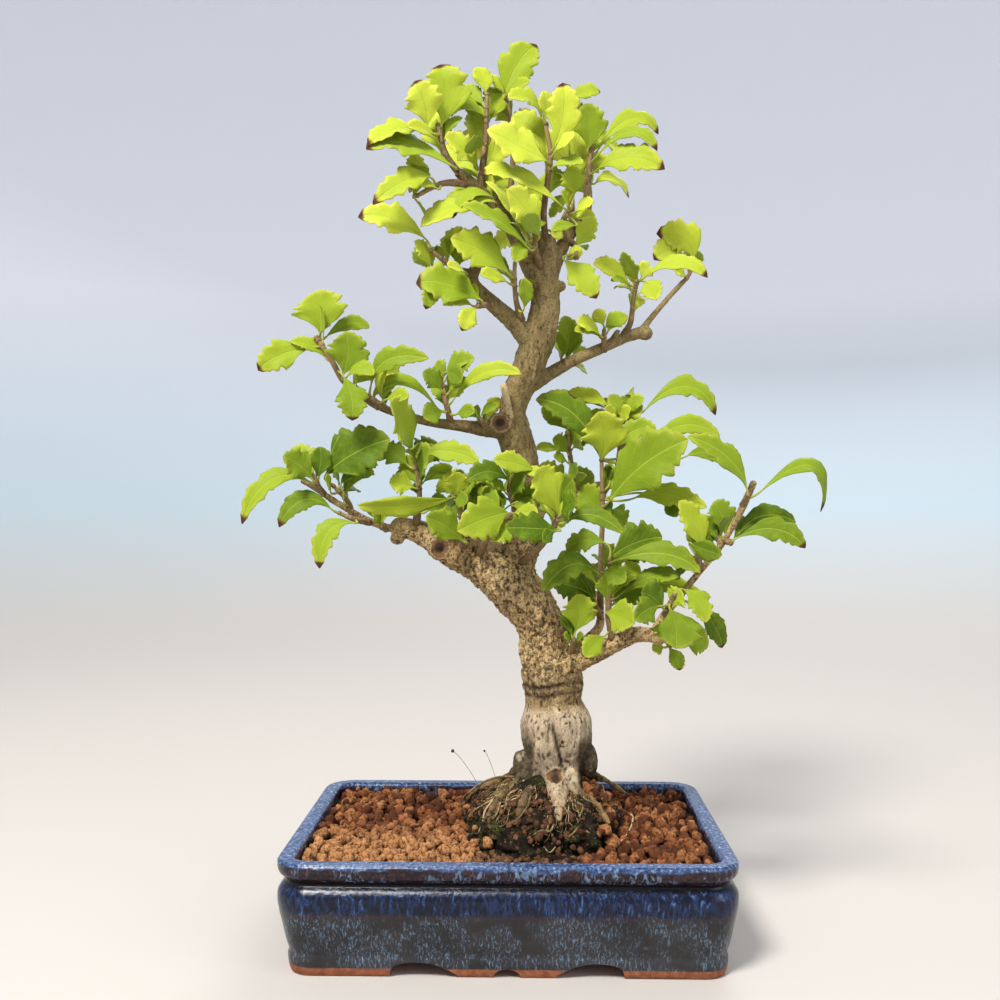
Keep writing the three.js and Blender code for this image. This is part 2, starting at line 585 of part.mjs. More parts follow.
    twig: [[306.5, 320, -17, 2.1], [304.5, 306, -18.5, 1.7], [305.5, 294, -17, 1.4],
      [305, 280, -15.5, 1.1]],
    leaves: [
      [306, 281, 350.5, 286, -14, 12, 30, 332, 272],
      [305.5, 278.5, 331, 268.5, 8, 19, 18],
      [303, 271.5, 283, 275, 7, 11, 32, 292, 266],
      [299, 286, 272, 295.5, -10, 14, 36, 284, 277.5],
      [301.5, 286, 313.5, 291, -10, 11, 36],
      [303, 300, 303, 286.5, -7, 12, 20],
      [309.5, 298, 340, 288, -10, 10, 62, 325, 285.5],
      [310, 299, 352, 298, 7, 10, 60, 331, 288.5],
      [308, 296, 320, 283, 10, 13, 18],
      [308, 301, 322.5, 294, 5, 13, 28],
      [303.5, 306.5, 317.5, 312, -15, 16, 18],
      [302.5, 318, 293, 328.5, -8, 10, 28],
    ],
  },
  shoot_right_low_left: {
    twig: [[299.7, 308, 11, 2], [297.5, 302, 0, 1.3]],
    leaves: [
      [297.5, 299.5, 276, 291, -7, 15, 12],
      [296, 305, 283.5, 306, 10, 12, 50],
    ],
  },
  shoot_right_fork: {
    twig: [[285.5, 328, -8.5, 2.4], [287.5, 319.5, -18.5, 1.2]],
    leaves: [
      [288, 315.5, 289, 297, -3, 16, 10],
      [285.5, 321.5, 282.5, 317.5, -7, 6, 36],
      [288.5, 320.5, 292, 317.5, -7, 5, 36],
    ],
  },
  shoot_right_low_end: {
    twig: [[332.5, 307, -17, 1.9], [334, 304.5, -26.5, 1.5], [337.5, 297.5, -30.5, 1.1]],
    leaves: [
      [335.5, 304.5, 338.5, 324, -10, 23, 10],
      [332, 304, 321.5, 296, -5, 17, 18],
      [337, 303, 342, 296, -8, 13, 24],
      [342, 294.5, 353.5, 311, -7, 11, 32, 353, 298],
      [350, 304, 362.3, 324, 8, 10, 24, 359.5, 310],
      [330, 303, 318.5, 310, -14, 12, 28],
    ],
  },
  shoot_right_low_under: {
    twig: [[329, 317, -20.5, 2.4], [333.5, 320.5, -14.5, 1.4], [335.5, 323, -12, 1.1]],
    leaves: [
      [340, 320, 354, 322.5, 10, 13, 18],
      [334.5, 323.5, 340, 335, -3, 7, 32],
      [332, 323.5, 326.5, 325, -5, 6, 28],
    ],
  },
  shoot_low_back: {
    twig: [[296, 301, 37, 2.4], [303, 291, 52.5, 1.6], [308, 283, 63, 1.2]],
    leaves: [
      [308, 284, 299, 274, 7, 13, 20],
      [308, 282, 321, 272, 7, 15, 30],
      [304, 289, 288, 291, 8, 15, 50],
      [305, 290, 321, 294, 10, 15, 40],
      [307, 285, 307, 303, 10, 14, 60],
      [300, 296, 288, 306, 7, 14, 40],
    ],
  },
};

// Leaf outlines, one half: share of the blade's length, share of its half width.
// A leaf widens from a wedge base to a side lobe; a large one cuts back and widens once more.
// Stations run round the edge from the stalk's root, then along the midrib; faces name them.
const LARGE_LEAF = {
  halfOutline: [[0.44, 1], [0.54, 0.72], [0.67, 0.9], [0.86, 0.48]],
  midrib: [0.36, 0.7],
  faces: [
    [0, 1, 2], [0, 2, 12], [12, 2, 13],
    [2, 3, 13], [3, 4, 13], [4, 14, 13], [4, 5, 14], [5, 6, 14], [6, 7, 14],
    [12, 13, 11], [11, 13, 10], [10, 13, 14], [10, 14, 9], [9, 14, 8], [8, 14, 7],
  ],
};
const SMALL_LEAF = {
  halfOutline: [[0.46, 1], [0.76, 0.72]],
  midrib: [0.5],
  faces: [
    [0, 1, 2], [0, 2, 8], [8, 2, 9],
    [2, 3, 9], [3, 4, 9], [4, 5, 9],
    [8, 9, 7], [7, 9, 6], [6, 9, 5],
  ],
};
const LARGE_WIDTH = 18;
const LEAF_WIDTH = 5;
const BLADE_SPREAD = 1.14;
const TURN_SHARE = 0.65;
const BOW_INSET = 0.7;
const FURTHEST_BEND = 0.78;
const LEAF_DEPTH_SHARE = 0.7;
const SMALLEST_LEAF = 10;
const BLADE_FOLD = 0.22;
const LOBE_DROOP = 0.1;
const NATURAL_BOW = 0.08;
const BASE_LEAN = 0.3;
const BOW_LEAN = 0.65;
const STALK_PLACES = 20;
const STALK_FIRST = 3;
const UPRIGHT = 0.9;

// Colours and finishes
const FINISHES = {
  glaze: { color: 0x3d5163, roughness: 0.3, metalness: 0 },
  soil: { color: 0x8a5638, roughness: 0.95, metalness: 0 },
  moss: { color: 0x37301c, roughness: 0.95, metalness: 0 },
  screen: { color: 0x26282a, roughness: 0.7, metalness: 0 },
  bark: { color: 0x8f7450, roughness: 0.85, metalness: 0 },
  leaf: { color: 0x9ab52a, roughness: 0.55, metalness: 0 },
};

// Solids from points and triangles, and back again
function toSolid(points, triangles) {
  const mesh = new wasm.Mesh({
    numProp: 3,
    vertProperties: new Float32Array(points),
    triVerts: new Uint32Array(triangles),
  });
  return new wasm.Manifold(mesh);
}

function geometryToSolid(geometry) {
  geometry.deleteAttribute('normal');
  geometry.deleteAttribute('uv');
  const merged = mergeVertices(geometry, WELD);
  return toSolid(merged.attributes.position.array, merged.index.array);
}

function solidToMesh(name, solid, finish) {
  const result = solid.getMesh();
  const geometry = new THREE.BufferGeometry();
  const points = new Float32Array(result.vertProperties);
  geometry.setAttribute('position', new THREE.BufferAttribute(points, 3));
  geometry.setIndex(new THREE.BufferAttribute(new Uint32Array(result.triVerts), 1));
  geometry.computeVertexNormals();
  const mesh = new THREE.Mesh(geometry, new THREE.MeshStandardMaterial(FINISHES[finish]));
  mesh.name = name;
  return mesh;
}

function join(solids) {
  return wasm.Manifold.union(solids);
}

function largestBody(solid) {
  const bodies = solid.decompose();
  return bodies.reduce((best, body) => (body.volume() > best.volume() ? body : best));
}

// A closed skin over rings of points, with a flat cap on each end
function skinRings(rings) {
  const sides = rings[0].length;
  const points = rings.flat().flatMap((p) => [p.x, p.y, p.z]);
  const triangles = [];
  for (let ring = 0; ring < rings.length - 1; ring += 1) {
    for (let i = 0; i < sides; i += 1) {
      const a = ring * sides + i;
      const b = ring * sides + ((i + 1) % sides);
      triangles.push(a, b, b + sides, a, b + sides, a + sides);
    }
  }
  const last = (rings.length - 1) * sides;
  for (let i = 1; i < sides - 1; i += 1) {
    triangles.push(0, i + 1, i);
    triangles.push(last, last + i, last + i + 1);
  }
  return toSolid(points, triangles);
}

// A limb: a tube of changing radius along a smooth curve, a little out of round where it is thick
function limb(path, sides, { extra = 0, gnarl = 0 } = {}) {
  const curve = twigCurve(path);
  const count = path.length - 1;
  const rings = [];
  const across = new THREE.Vector3(0, -1, 0);
  for (let i = 0; i <= count; i += 1) {
    const share = i / count;
    const centre = curve.getPoint(share);
    const along = curve.getTangent(share);
    const endShift = (i === count ? extra : 0) - (i === 0 ? extra : 0);
    centre.addScaledVector(along, endShift);
    across.addScaledVector(along, -across.dot(along)).normalize();
    const side = new THREE.Vector3().crossVectors(along, across);
    const ring = [];
    for (let k = 0; k < sides; k += 1) {
      const angle = (2 * Math.PI * k) / sides;
      const coarse = Math.sin(3 * angle + 0.9 * i);
      const fine = Math.sin(2 * angle - 1.7 * i);
      const lump = 1 + gnarl * (coarse + 0.6 * fine);
      const reach = path[i][3] * lump + extra;
      ring.push(centre.clone()
        .addScaledVector(across, reach * Math.cos(angle))
        .addScaledVector(side, reach * Math.sin(angle)));
    }
    rings.push(ring);
  }
  return skinRings(rings);
}

function knob({ at, radius }, extra) {
  const ball = new THREE.SphereGeometry(1, KNOB_SIDES, KNOB_RINGS);
  ball.scale(radius[0] + extra, radius[1] + extra, radius[2] + extra);
  const centre = place(...at);
  ball.translate(centre.x, centre.y, centre.z);
  return geometryToSolid(ball);
}

// Height of the soil alone: a low rise towards the trunk
function soilLevel(x, y) {
  const { height, centre, spread } = SOIL_RISE;
  const apart = ((x - centre[0]) / spread[0]) ** 2 + ((y - centre[1]) / spread[1]) ** 2;
  return SOIL_LEVEL + height * Math.exp(-2 * apart);
}

// Height of the ground: the soil with its low rise, or the root ball where that is higher
function groundHeight(x, y) {
  const { centre, radius } = MOUND;
  const apart = ((x - centre[0]) / radius[0]) ** 2 + ((y - centre[1]) / radius[1]) ** 2;
  const mound = centre[2] + radius[2] * Math.sqrt(Math.max(0, 1 - apart));
  return Math.max(soilLevel(x, y), apart < 1 ? mound : 0);
}

// How far behind the sheet the line of sight through s, t first meets the ground,
// or comes nearest to it
function groundAway(s, t) {
  let nearest = 0;
  let least = Infinity;
  for (let away = -POT_DEPTH / 2; away <= SIGHT_END && least > 0; away += SIGHT_STEP) {
    const point = place(s, t, away);
    const over = point.z - groundHeight(point.x, point.y);
    if (over < least) {
      least = over;
      nearest = away;
    }
  }
  return nearest;
}

// A row of s, t, distance behind the sheet, radius for a place on the ground in plan
function hiddenRow(x, y, radius) {
  const reach = 1 - y / EYE.y;
  const s = SHEET_CENTRE + (x - EYE.x) / reach;
  const t = SHEET_CENTRE + (EYE.z - groundHeight(x, y)) / reach;
  return [s, t, y, radius];
}

// The wood: trunk, branches, twig stubs, knobs and surface roots grown together
function makeWood(extra) {
  const rootPaths = ROOTS.map(({ start, seen, hidden }) => [
    start,
    ...(seen ?? []).map(([s, t, radius]) => [s, t, groundAway(s, t), radius]),
    ...(hidden ?? []).map(([x, y, radius]) => hiddenRow(x, y, radius)),
  ]);
  const pieces = [
    limb(TRUNK_LOWER, TRUNK_SIDES, { extra, gnarl: TRUNK_GNARL }),
    limb(TRUNK_UPPER, UPPER_TRUNK_SIDES, { extra, gnarl: TRUNK_GNARL }),
    ...BRANCHES.map(({ path, sides }) => limb(path, sides, { extra })),
    ...rootPaths.map((path) => limb(path, TWIG_SIDES, { extra })),
    ...KNOBS.map((row) => knob(row, extra)),
  ];
  return join(pieces);
}

// The line a leaf's midrib follows, and how its blade turns about that line
function leafFrame(depth, row, swing) {
  const [baseS, baseT, tipS, tipT, lean, width, turn, bowS, bowT] = row;
  const front = new THREE.Vector3(0, -1, 0);
  const base = place(baseS, baseT, depth + BASE_LEAN * (lean + swing));
  const tip = place(tipS, tipT, depth + lean + swing);
  const chord = tip.clone().sub(base);
  const length = chord.length();
  const facesFront = turn <= 90;
  const shareOfTurn = facesFront ? turn * TURN_SHARE : 180 - (180 - turn) * TURN_SHARE;
  const angle = THREE.MathUtils.degToRad(shareOfTurn);
  const bladeWidth = width * BLADE_SPREAD;
  chord.normalize();
  let middle;
  let up;
  if (bowS === undefined) {
    up = Math.abs(chord.z) > UPRIGHT ? new THREE.Vector3(1, 0, 0) : new THREE.Vector3(0, 0, 1);
    up.addScaledVector(chord, -up.dot(chord)).normalize();
    middle = base.clone().lerp(tip, 0.5).addScaledVector(up, NATURAL_BOW * length);
  } else {
    middle = place(bowS, bowT, depth + BOW_LEAN * (lean + swing));
    up = middle.clone().sub(base);
    up.addScaledVector(chord, -up.dot(chord)).normalize();
    const bow = middle.clone().sub(base).dot(up);
    middle.addScaledVector(up, -BOW_INSET * Math.min(bow, bladeWidth / 2) * Math.abs(Math.cos(angle)));
  }
  const control = middle.multiplyScalar(2).addScaledVector(base, -0.5).addScaledVector(tip, -0.5);
  const over = control.clone().sub(base).dot(chord) - FURTHEST_BEND * length;
  control.addScaledVector(chord, -Math.max(over, 0));
  const spine = new THREE.QuadraticBezierCurve3(base, control, tip);
  const plane = new THREE.Vector3().crossVectors(chord, up).normalize();
  const facing = plane.clone().multiplyScalar(plane.dot(front) < 0 ? -1 : 1);
  return { spine, plane, facing, angle, width: bladeWidth };
}

// Across and out of the blade at one place along its midrib
function bladeAxes(frame, along) {
  const tangent = frame.spine.getTangent(along);
  const crown = new THREE.Vector3().crossVectors(frame.plane, tangent);
  const normal = frame.facing.clone().multiplyScalar(Math.cos(frame.angle))
    .addScaledVector(crown, Math.sin(frame.angle)).normalize();
  const sideways = new THREE.Vector3().crossVectors(tangent, normal).normalize();
  return { sideways, normal };
}

// The place on a twig that a leaf's stalk grows from: near the blade and in line with it
function stalkRoot(curve, frame) {
  const base = frame.spine.getPoint(0);
  const tangent = frame.spine.getTangent(0);
  let root = null;
  let least = Infinity;
  for (let i = STALK_FIRST; i <= STALK_PLACES; i += 1) {
    const point = curve.getPoint(i / STALK_PLACES);
    const stalk = base.clone().sub(point);
    const length = stalk.length();
    const cost = length + STALK_TURN_COST * (1 - stalk.dot(tangent) / Math.max(length, 1));
    if (cost < least) {
      least = cost;
      root = point;
    }
  }
  return root;
}

// One leaf in one piece: a stalk from the twig, and a thin blade with a cut edge,
// folded along its midrib and bowed. Both faces are split into the same triangles.
function leafSolid(frame, root, margin) {
  const isLarge = frame.width >= LARGE_WIDTH * BLADE_SPREAD;
  const { halfOutline, midrib, faces } = isLarge ? LARGE_LEAF : SMALL_LEAF;
  const lift = BLADE_THICKNESS / 2 + margin;
  const stalkHalf = STALK_WIDTH / 2 + margin;
  const stations = [];
  const addStation = (point, normal) => stations.push({ point, normal });

  const base = frame.spine.getPoint(0);
  const start = bladeAxes(frame, 0);
  const stalk = base.clone().sub(root).normalize();
  const across = start.sideways.clone().addScaledVector(stalk, -start.sideways.dot(stalk)).normalize();
  const stalkNormal = new THREE.Vector3().crossVectors(across, stalk);
  const bladeStation = (along, share) => {
    const { sideways, normal } = bladeAxes(frame, along);
    const reach = share * (frame.width / 2 + margin);
    const rise = (BLADE_FOLD * Math.abs(share) - LOBE_DROOP * share * share) * frame.width / 2;
    const spot = frame.spine.getPoint(along);
    spot.addScaledVector(sideways, reach).addScaledVector(normal, rise);
    addStation(spot, normal);
  };

  addStation(root.clone().addScaledVector(across, -stalkHalf), stalkNormal);
  addStation(root.clone().addScaledVector(across, stalkHalf), stalkNormal);
  addStation(base.clone().addScaledVector(start.sideways, stalkHalf), start.normal);
  halfOutline.forEach(([along, share]) => bladeStation(along, share));
  bladeStation(1, 0);
  [...halfOutline].reverse().forEach(([along, share]) => bladeStation(along, -share));
  addStation(base.clone().addScaledVector(start.sideways, -stalkHalf), start.normal);
  const edge = stations.length;
  midrib.forEach((along) => bladeStation(along, 0));

  return facesToSolid(stations, edge, faces, lift);
}

// Thickens a sheet of triangles to a closed solid
function facesToSolid(stations, edge, faces, lift) {
  const shifted = (by) => stations.map(({ point, normal }) => point.clone().addScaledVector(normal, by));
  const points = [...shifted(lift), ...shifted(-lift)].flatMap((p) => [p.x, p.y, p.z]);
  const under = stations.length;
  const triangles = [];
  faces.forEach(([a, b, c]) => {
    triangles.push(a, b, c);
    triangles.push(under + a, under + c, under + b);
  });
  for (let i = 0; i < edge; i += 1) {
    const next = (i + 1) % edge;
    triangles.push(i, under + i, under + next, i, under + next, next);
  }
  return toSolid(points, triangles);
}

function twigCurve(path) {
  const points = path.map(([s, t, away]) => place(s, t, away));
  return new THREE.CatmullRomCurve3(points, false, 'centripetal');
}

// A leaf that would touch another part swings its tip back or forward until it is clear.
// It keeps off the blades of its own shoot as well where it can, and is fused to them where it can't.
function clearLeaf(curve, row, obstacles, siblings) {
  const depth = curve.getPoint(LEAF_DEPTH_SHARE).y;
  let crossing = null;
  for (let attempt = 0; attempt <= 2 * SWING_TRIES; attempt += 1) {
    const swing = SWING_STEP * Math.ceil(attempt / 2) * (attempt % 2 === 0 ? 1 : -1);
    const frame = leafFrame(depth, row, swing);
    const root = stalkRoot(curve, frame);
    const wide = leafSolid(frame, root, CLEARANCE);
    if (!obstacles.some((other) => touches(wide, other))) {
      const tangent = frame.spine.getTangent(0);
      const blade = leafSolid(frame, frame.spine.getPoint(0).addScaledVector(tangent, -STALK_WIDTH), 0);
      const leaf = { solid: leafSolid(frame, root, 0), blade };
      if (!siblings.some((other) => touches(blade, other))) {
        return leaf;
      }
      crossing ??= leaf;
    }
  }
  return crossing;
}

function touches(one, other) {
  return one.intersect(other).volume() > 0;
}

function makeShoots(woodWithGap) {
  const names = Object.keys(SHOOTS);
  const stems = {};
  names.forEach((name) => {
    stems[name] = limb(SHOOTS[name].twig, TWIG_SIDES).subtract(woodWithGap);
  });
  const finished = {};
  names.forEach((name) => {
    const curve = twigCurve(SHOOTS[name].twig);
    const otherNames = names.filter((other) => other !== name);
    const others = otherNames.map((other) => finished[other] ?? stems[other]);
    const leaves = [];
    SHOOTS[name].leaves.filter((row) => row[LEAF_WIDTH] >= SMALLEST_LEAF).forEach((row) => {
      const leaf = clearLeaf(curve, row, [woodWithGap, ...others], leaves.map(({ blade }) => blade));
      leaves.push(leaf);
    });
    const pieces = [stems[name], ...leaves.map(({ solid }) => solid)];
    finished[name] = largestBody(join(pieces).subtract(woodWithGap));
  });
  return finished;
}

// A rounded rectangle at one height, corner by corner
function potRing(halfWidth, halfDepth, corner, z) {
  const ring = [];
  const corners = [[1, 1], [-1, 1], [-1, -1], [1, -1]];
  corners.forEach(([signX, signY], quarter) => {
    for (let i = 0; i <= CORNER_STEPS; i += 1) {
      const angle = (Math.PI / 2) * (quarter + i / CORNER_STEPS);
      ring.push(new THREE.Vector3(
        signX * (halfWidth - corner) + corner * Math.cos(angle),
        signY * (halfDepth - corner) + corner * Math.sin(angle),
        z,
      ));
    }
  });
  return ring;
}

function loft(profile) {
  return skinRings(profile.map(([inset, z]) => potRing(
    POT_WIDTH / 2 - inset,
    POT_DEPTH / 2 - inset,
    Math.max(POT_CORNER - inset, LEAST_CORNER),
    z,
  )));
}

function box(width, depth, height, x, y, z) {
  const geometry = new THREE.BoxGeometry(width, depth, height);
  geometry.translate(x, y, z);
  return geometryToSolid(geometry);
}

// Pot profile from the foot to the rim: inset from the rim's edge, height
const POT_OUTSIDE = [
  [FOOT_INSET, 0], [5.3, 2.4], [4.7, 7.6], [5.2, 9.4], [4, 13.5], [2.9, 18], [1.9, 22.5], [0.8, 27],
  [0, 32.5], [0.3, 36], [1.8, 38.6], [3.8, 41], [0.6, 44.6], [0, 49], [1.2, POT_HEIGHT],
];
const POT_INSIDE = [
  [WALL + 6, FOOT_HEIGHT + FLOOR_THICKNESS], [WALL + 3, 20], [RIM_WIDTH, 38], [RIM_WIDTH, 49],
  [RIM_WIDTH - 1.5, POT_HEIGHT + 1],
];

// Openings between the feet, as [along, up] points: under the left half of a long side, between the
// halves of its middle foot, and under a short side
const LEFT_ARCH = [
  [-51.6, -2], [-51.4, 1.5], [-50.2, 4.6], [-47.5, 6], [-43, 6.8], [-36, 6.8], [-29.4, 5.2],
  [-24.5, 2.9], [-21.5, 0.8], [-19.8, -2],
];
const MIDDLE_ARCH = [[-6.5, -2], [-5.2, 2.2], [-2.4, 3.9], [2.4, 3.9], [5.2, 2.2], [6.5, -2]];
const SIDE_ARCH = [
  [-17, -2], [-16.6, 3.4], [-14.4, 5.6], [-10, FOOT_HEIGHT], [10, FOOT_HEIGHT], [14.4, 5.6],
  [16.6, 3.4], [17, -2],
];

function archCut(outline, turnedToSide) {
  const shape = new THREE.Shape(outline.map(([along, up]) => new THREE.Vector2(along, up)));
  const reach = 2 * POT_WIDTH;
  const geometry = new THREE.ExtrudeGeometry(shape, { depth: reach, bevelEnabled: false });
  geometry.translate(0, 0, -reach / 2);
  geometry.rotateX(Math.PI / 2);
  geometry.rotateZ(turnedToSide ? Math.PI / 2 : 0);
  return geometryToSolid(geometry);
}

function makePot() {
  const outside = loft(POT_OUTSIDE);
  const inside = loft(POT_INSIDE);
  const hollowFoot = loft([[FOOT_INSET + FOOT_SKIRT, -1], [FOOT_INSET + FOOT_SKIRT, FOOT_HEIGHT]]);
  const cuts = [inside, hollowFoot];
  const rightArch = LEFT_ARCH.map(([along, up]) => [-along, up]);
  [LEFT_ARCH, MIDDLE_ARCH, rightArch].forEach((outline) => cuts.push(archCut(outline, false)));
  cuts.push(archCut(SIDE_ARCH, true));
  [-1, 1].forEach((side) => {
    const radius = DRAIN_HOLE_RADIUS;
    const hole = new THREE.CylinderGeometry(radius, radius, POT_HEIGHT, DRAIN_HOLE_SIDES);
    hole.rotateX(Math.PI / 2);
    hole.translate((side * DRAIN_HOLE_SPREAD) / 2, 0, 0);
    cuts.push(geometryToSolid(hole));
  });
  return outside.subtract(join(cuts));
}

// A drain screen: a square of plastic net over a drain hole, between the floor and the soil
function makeScreen(side) {
  const bars = [];
  for (let i = 0; i <= SCREEN_MESHES; i += 1) {
    const offset = (i / SCREEN_MESHES - 0.5) * (SCREEN_SIZE - SCREEN_BAR);
    const x = (side * DRAIN_HOLE_SPREAD) / 2;
    const z = FOOT_HEIGHT + FLOOR_THICKNESS + CLEARANCE + SCREEN_THICKNESS / 2;
    bars.push(box(SCREEN_SIZE, SCREEN_BAR, SCREEN_THICKNESS, x, offset, z));
    bars.push(box(SCREEN_BAR, SCREEN_SIZE, SCREEN_THICKNESS, x + offset, 0, z));
  }
  return join(bars);
}

// Repeatable scatter: the same number for the same cell every time
function scatter(i, j) {
  const value = Math.sin(12.9898 * i + 78.233 * j) * 43758.5453;
  return value - Math.floor(value);
}

// A block with flat sides and the soil's surface on top, each grain of it larger than life
function soilBlock() {
  const columns = SOIL_COLUMNS;
  const rows = SOIL_ROWS;
  const halfWidth = POT_WIDTH / 2;
  const halfDepth = POT_DEPTH / 2;
  const points = [];
  for (let j = 0; j <= rows; j += 1) {
    for (let i = 0; i <= columns; i += 1) {
      const x = -halfWidth + (POT_WIDTH * i) / columns;
      const y = -halfDepth + (POT_DEPTH * j) / rows;
      points.push(x, y, soilLevel(x, y) + GRAIN_RELIEF * (scatter(i, j) - 0.5));
    }
  }
  const first = points.length / 3;
  points.push(-halfWidth, -halfDepth, 0, halfWidth, -halfDepth, 0);
  points.push(halfWidth, halfDepth, 0, -halfWidth, halfDepth, 0);
  const at = (i, j) => j * (columns + 1) + i;
  const triangles = [];
  for (let j = 0; j < rows; j += 1) {
    for (let i = 0; i < columns; i += 1) {
      triangles.push(at(i, j), at(i + 1, j), at(i + 1, j + 1));
      triangles.push(at(i, j), at(i + 1, j + 1), at(i, j + 1));
    }
  }
  const wall = (edge, from, to) => {
    for (let k = 0; k < edge.length - 1; k += 1) {
      triangles.push(from, edge[k + 1], edge[k]);
    }
    triangles.push(from, to, edge[edge.length - 1]);
  };
  const columnList = [...Array(columns + 1).keys()];
  const rowList = [...Array(rows + 1).keys()];
  wall(columnList.map((i) => at(i, 0)), first, first + 1);
  wall(rowList.map((j) => at(columns, j)), first + 1, first + 2);
  wall(columnList.map((i) => at(columns - i, rows)), first + 2, first + 3);
  wall(rowList.map((j) => at(0, rows - j)), first + 3, first);
  triangles.push(first, first + 2, first + 1, first, first + 3, first + 2);
  return toSolid(points, triangles);
}

// The old root ball: a lumpy dark mound round the trunk's foot, half sunk in the soil
function moundBlob(extra) {
  const { centre, radius, sides, rings } = MOUND;
  const ball = new THREE.SphereGeometry(1, sides, rings);
  ball.deleteAttribute('normal');
  ball.deleteAttribute('uv');
  const merged = mergeVertices(ball, WELD);
  const position = merged.attributes.position;
  const points = [];
  for (let i = 0; i < position.count; i += 1) {
    const unit = [position.getX(i), position.getY(i), position.getZ(i)];
    const lump = 1 + 0.08 * Math.sin(5 * unit[0] + 1.3) * Math.cos(4 * unit[1])
      + 0.05 * Math.sin(9 * unit[0] - 7 * unit[1] + 3 * unit[2]);
    unit.forEach((value, axis) => points.push(centre[axis] + (radius[axis] * lump + extra) * value));
  }
  return toSolid(points, merged.index.array);
}

function makeSoil(mound, woodWithGap) {
  const bottom = FOOT_HEIGHT + FLOOR_THICKNESS + 2 * CLEARANCE + SCREEN_THICKNESS;
  const fill = loft(POT_INSIDE.map(([inset, z]) => [inset + CLEARANCE, Math.max(z, bottom)]));
  return largestBody(fill.intersect(soilBlock()).subtract(mound).subtract(woodWithGap));
}

// Assembly
const wood = makeWood(0);
const woodWithGap = makeWood(CLEARANCE);
const shoots = makeShoots(woodWithGap);
const mound = largestBody(moundBlob(0).subtract(woodWithGap));
const tree = new THREE.Group();
tree.add(solidToMesh('pot', makePot(), 'glaze'));
tree.add(solidToMesh('soil', makeSoil(moundBlob(CLEARANCE), woodWithGap), 'soil'));
tree.add(solidToMesh('root_ball', mound, 'moss'));
tree.add(solidToMesh('drain_screen_left', makeScreen(-1), 'screen'));
tree.add(solidToMesh('drain_screen_right', makeScreen(1), 'screen'));
tree.add(solidToMesh('wood', wood, 'bark'));
Object.entries(shoots).forEach(([name, solid]) => tree.add(solidToMesh(name, solid, 'leaf')));

// The origin comes under the middle of the whole object
const size = new THREE.Box3().setFromObject(tree, true);
const middle = size.getCenter(new THREE.Vector3());
tree.children.forEach((mesh) => mesh.geometry.translate(-middle.x, -middle.y, 0));

export default tree;
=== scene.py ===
"""Rose of sharon bonsai in its glazed pot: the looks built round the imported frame.

Lengths in the lists are millimetres; every mesh is written in metres, in the frame's own axes.
"""
import math
import random

import bmesh
import bpy
import numpy as np
from mathutils import Euler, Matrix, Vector, noise
from mathutils.bvhtree import BVHTree
from mathutils.kdtree import KDTree


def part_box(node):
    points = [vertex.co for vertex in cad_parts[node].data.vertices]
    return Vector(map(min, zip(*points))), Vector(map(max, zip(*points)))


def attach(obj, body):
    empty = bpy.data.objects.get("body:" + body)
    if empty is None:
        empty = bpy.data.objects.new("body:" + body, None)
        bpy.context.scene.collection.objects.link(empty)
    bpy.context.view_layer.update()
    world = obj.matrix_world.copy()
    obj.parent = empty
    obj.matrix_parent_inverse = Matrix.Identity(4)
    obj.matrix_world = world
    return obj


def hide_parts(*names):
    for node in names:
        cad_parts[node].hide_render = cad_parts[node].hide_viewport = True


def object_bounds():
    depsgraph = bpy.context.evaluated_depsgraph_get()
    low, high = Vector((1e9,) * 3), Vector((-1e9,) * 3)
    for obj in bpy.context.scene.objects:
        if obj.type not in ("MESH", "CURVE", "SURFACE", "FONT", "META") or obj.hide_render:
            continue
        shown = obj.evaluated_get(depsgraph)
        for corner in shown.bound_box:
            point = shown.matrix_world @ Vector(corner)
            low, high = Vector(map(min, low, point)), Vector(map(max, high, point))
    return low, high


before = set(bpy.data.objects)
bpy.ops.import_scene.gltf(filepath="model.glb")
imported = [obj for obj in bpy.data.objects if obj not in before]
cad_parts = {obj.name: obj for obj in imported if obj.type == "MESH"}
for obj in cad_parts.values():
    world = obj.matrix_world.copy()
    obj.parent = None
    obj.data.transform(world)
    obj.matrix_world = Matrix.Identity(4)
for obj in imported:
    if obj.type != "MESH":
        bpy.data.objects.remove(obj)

cad_low, cad_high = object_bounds()

# Places are read on an upright sheet through the trunk: s to the right, t down, in millimetres.
# A point off the sheet slides along the line from the eye.
MM = 0.001
SHEET_CENTRE = 250
EYE = Vector((-4.5, -537, 209.5))
POT_LOW, POT_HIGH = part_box("pot")
SHIFT = Vector(((POT_LOW.x + POT_HIGH.x) / 2, (POT_LOW.y + POT_HIGH.y) / 2, 0)) / MM

# Pot and ground, as in the frame
POT_WIDTH = 206
POT_DEPTH = 145
POT_HEIGHT = 50.5
POT_CORNER = 16
RIM_WIDTH = 8
FLOOR_TOP = 12.2
FOOT_HEIGHT = 6.2
FOOT_INSET = 6.3
FOOT_SKIRT = 11
FOOT_BEVEL = 0.8
DRAIN_HOLE_RADIUS = 8
DRAIN_HOLE_SPREAD = 92
SOIL_LEVEL = 46.5
SOIL_RISE = {"height": 4, "centre": (17.5, -12), "spread": (40, 27)}
MOUND = {"centre": (16.5, -4, 46), "radius": (39, 45, 27)}

# Limbs: rows of s, t, distance behind the sheet, radius
TRUNK_LOWER = [
    (280, 418, -2, 4), (280, 408, -2, 6), (279.5, 398, -2, 8.2), (279, 390, -1, 10.8),
    (278, 380, 0, 14.2), (278, 370, 0, 17.4), (278, 360, 0, 17.6), (277, 350, 0, 13.8),
    (277, 340, 0, 16), (273, 327, 0, 12.4), (271, 314, 0, 11.9), (264, 302, 0, 12.6),
    (252, 289, 0, 13), (240, 281, 0, 11), (228, 276, -1, 9.2), (216, 269, -2, 7), (204, 264, -2, 5),
]

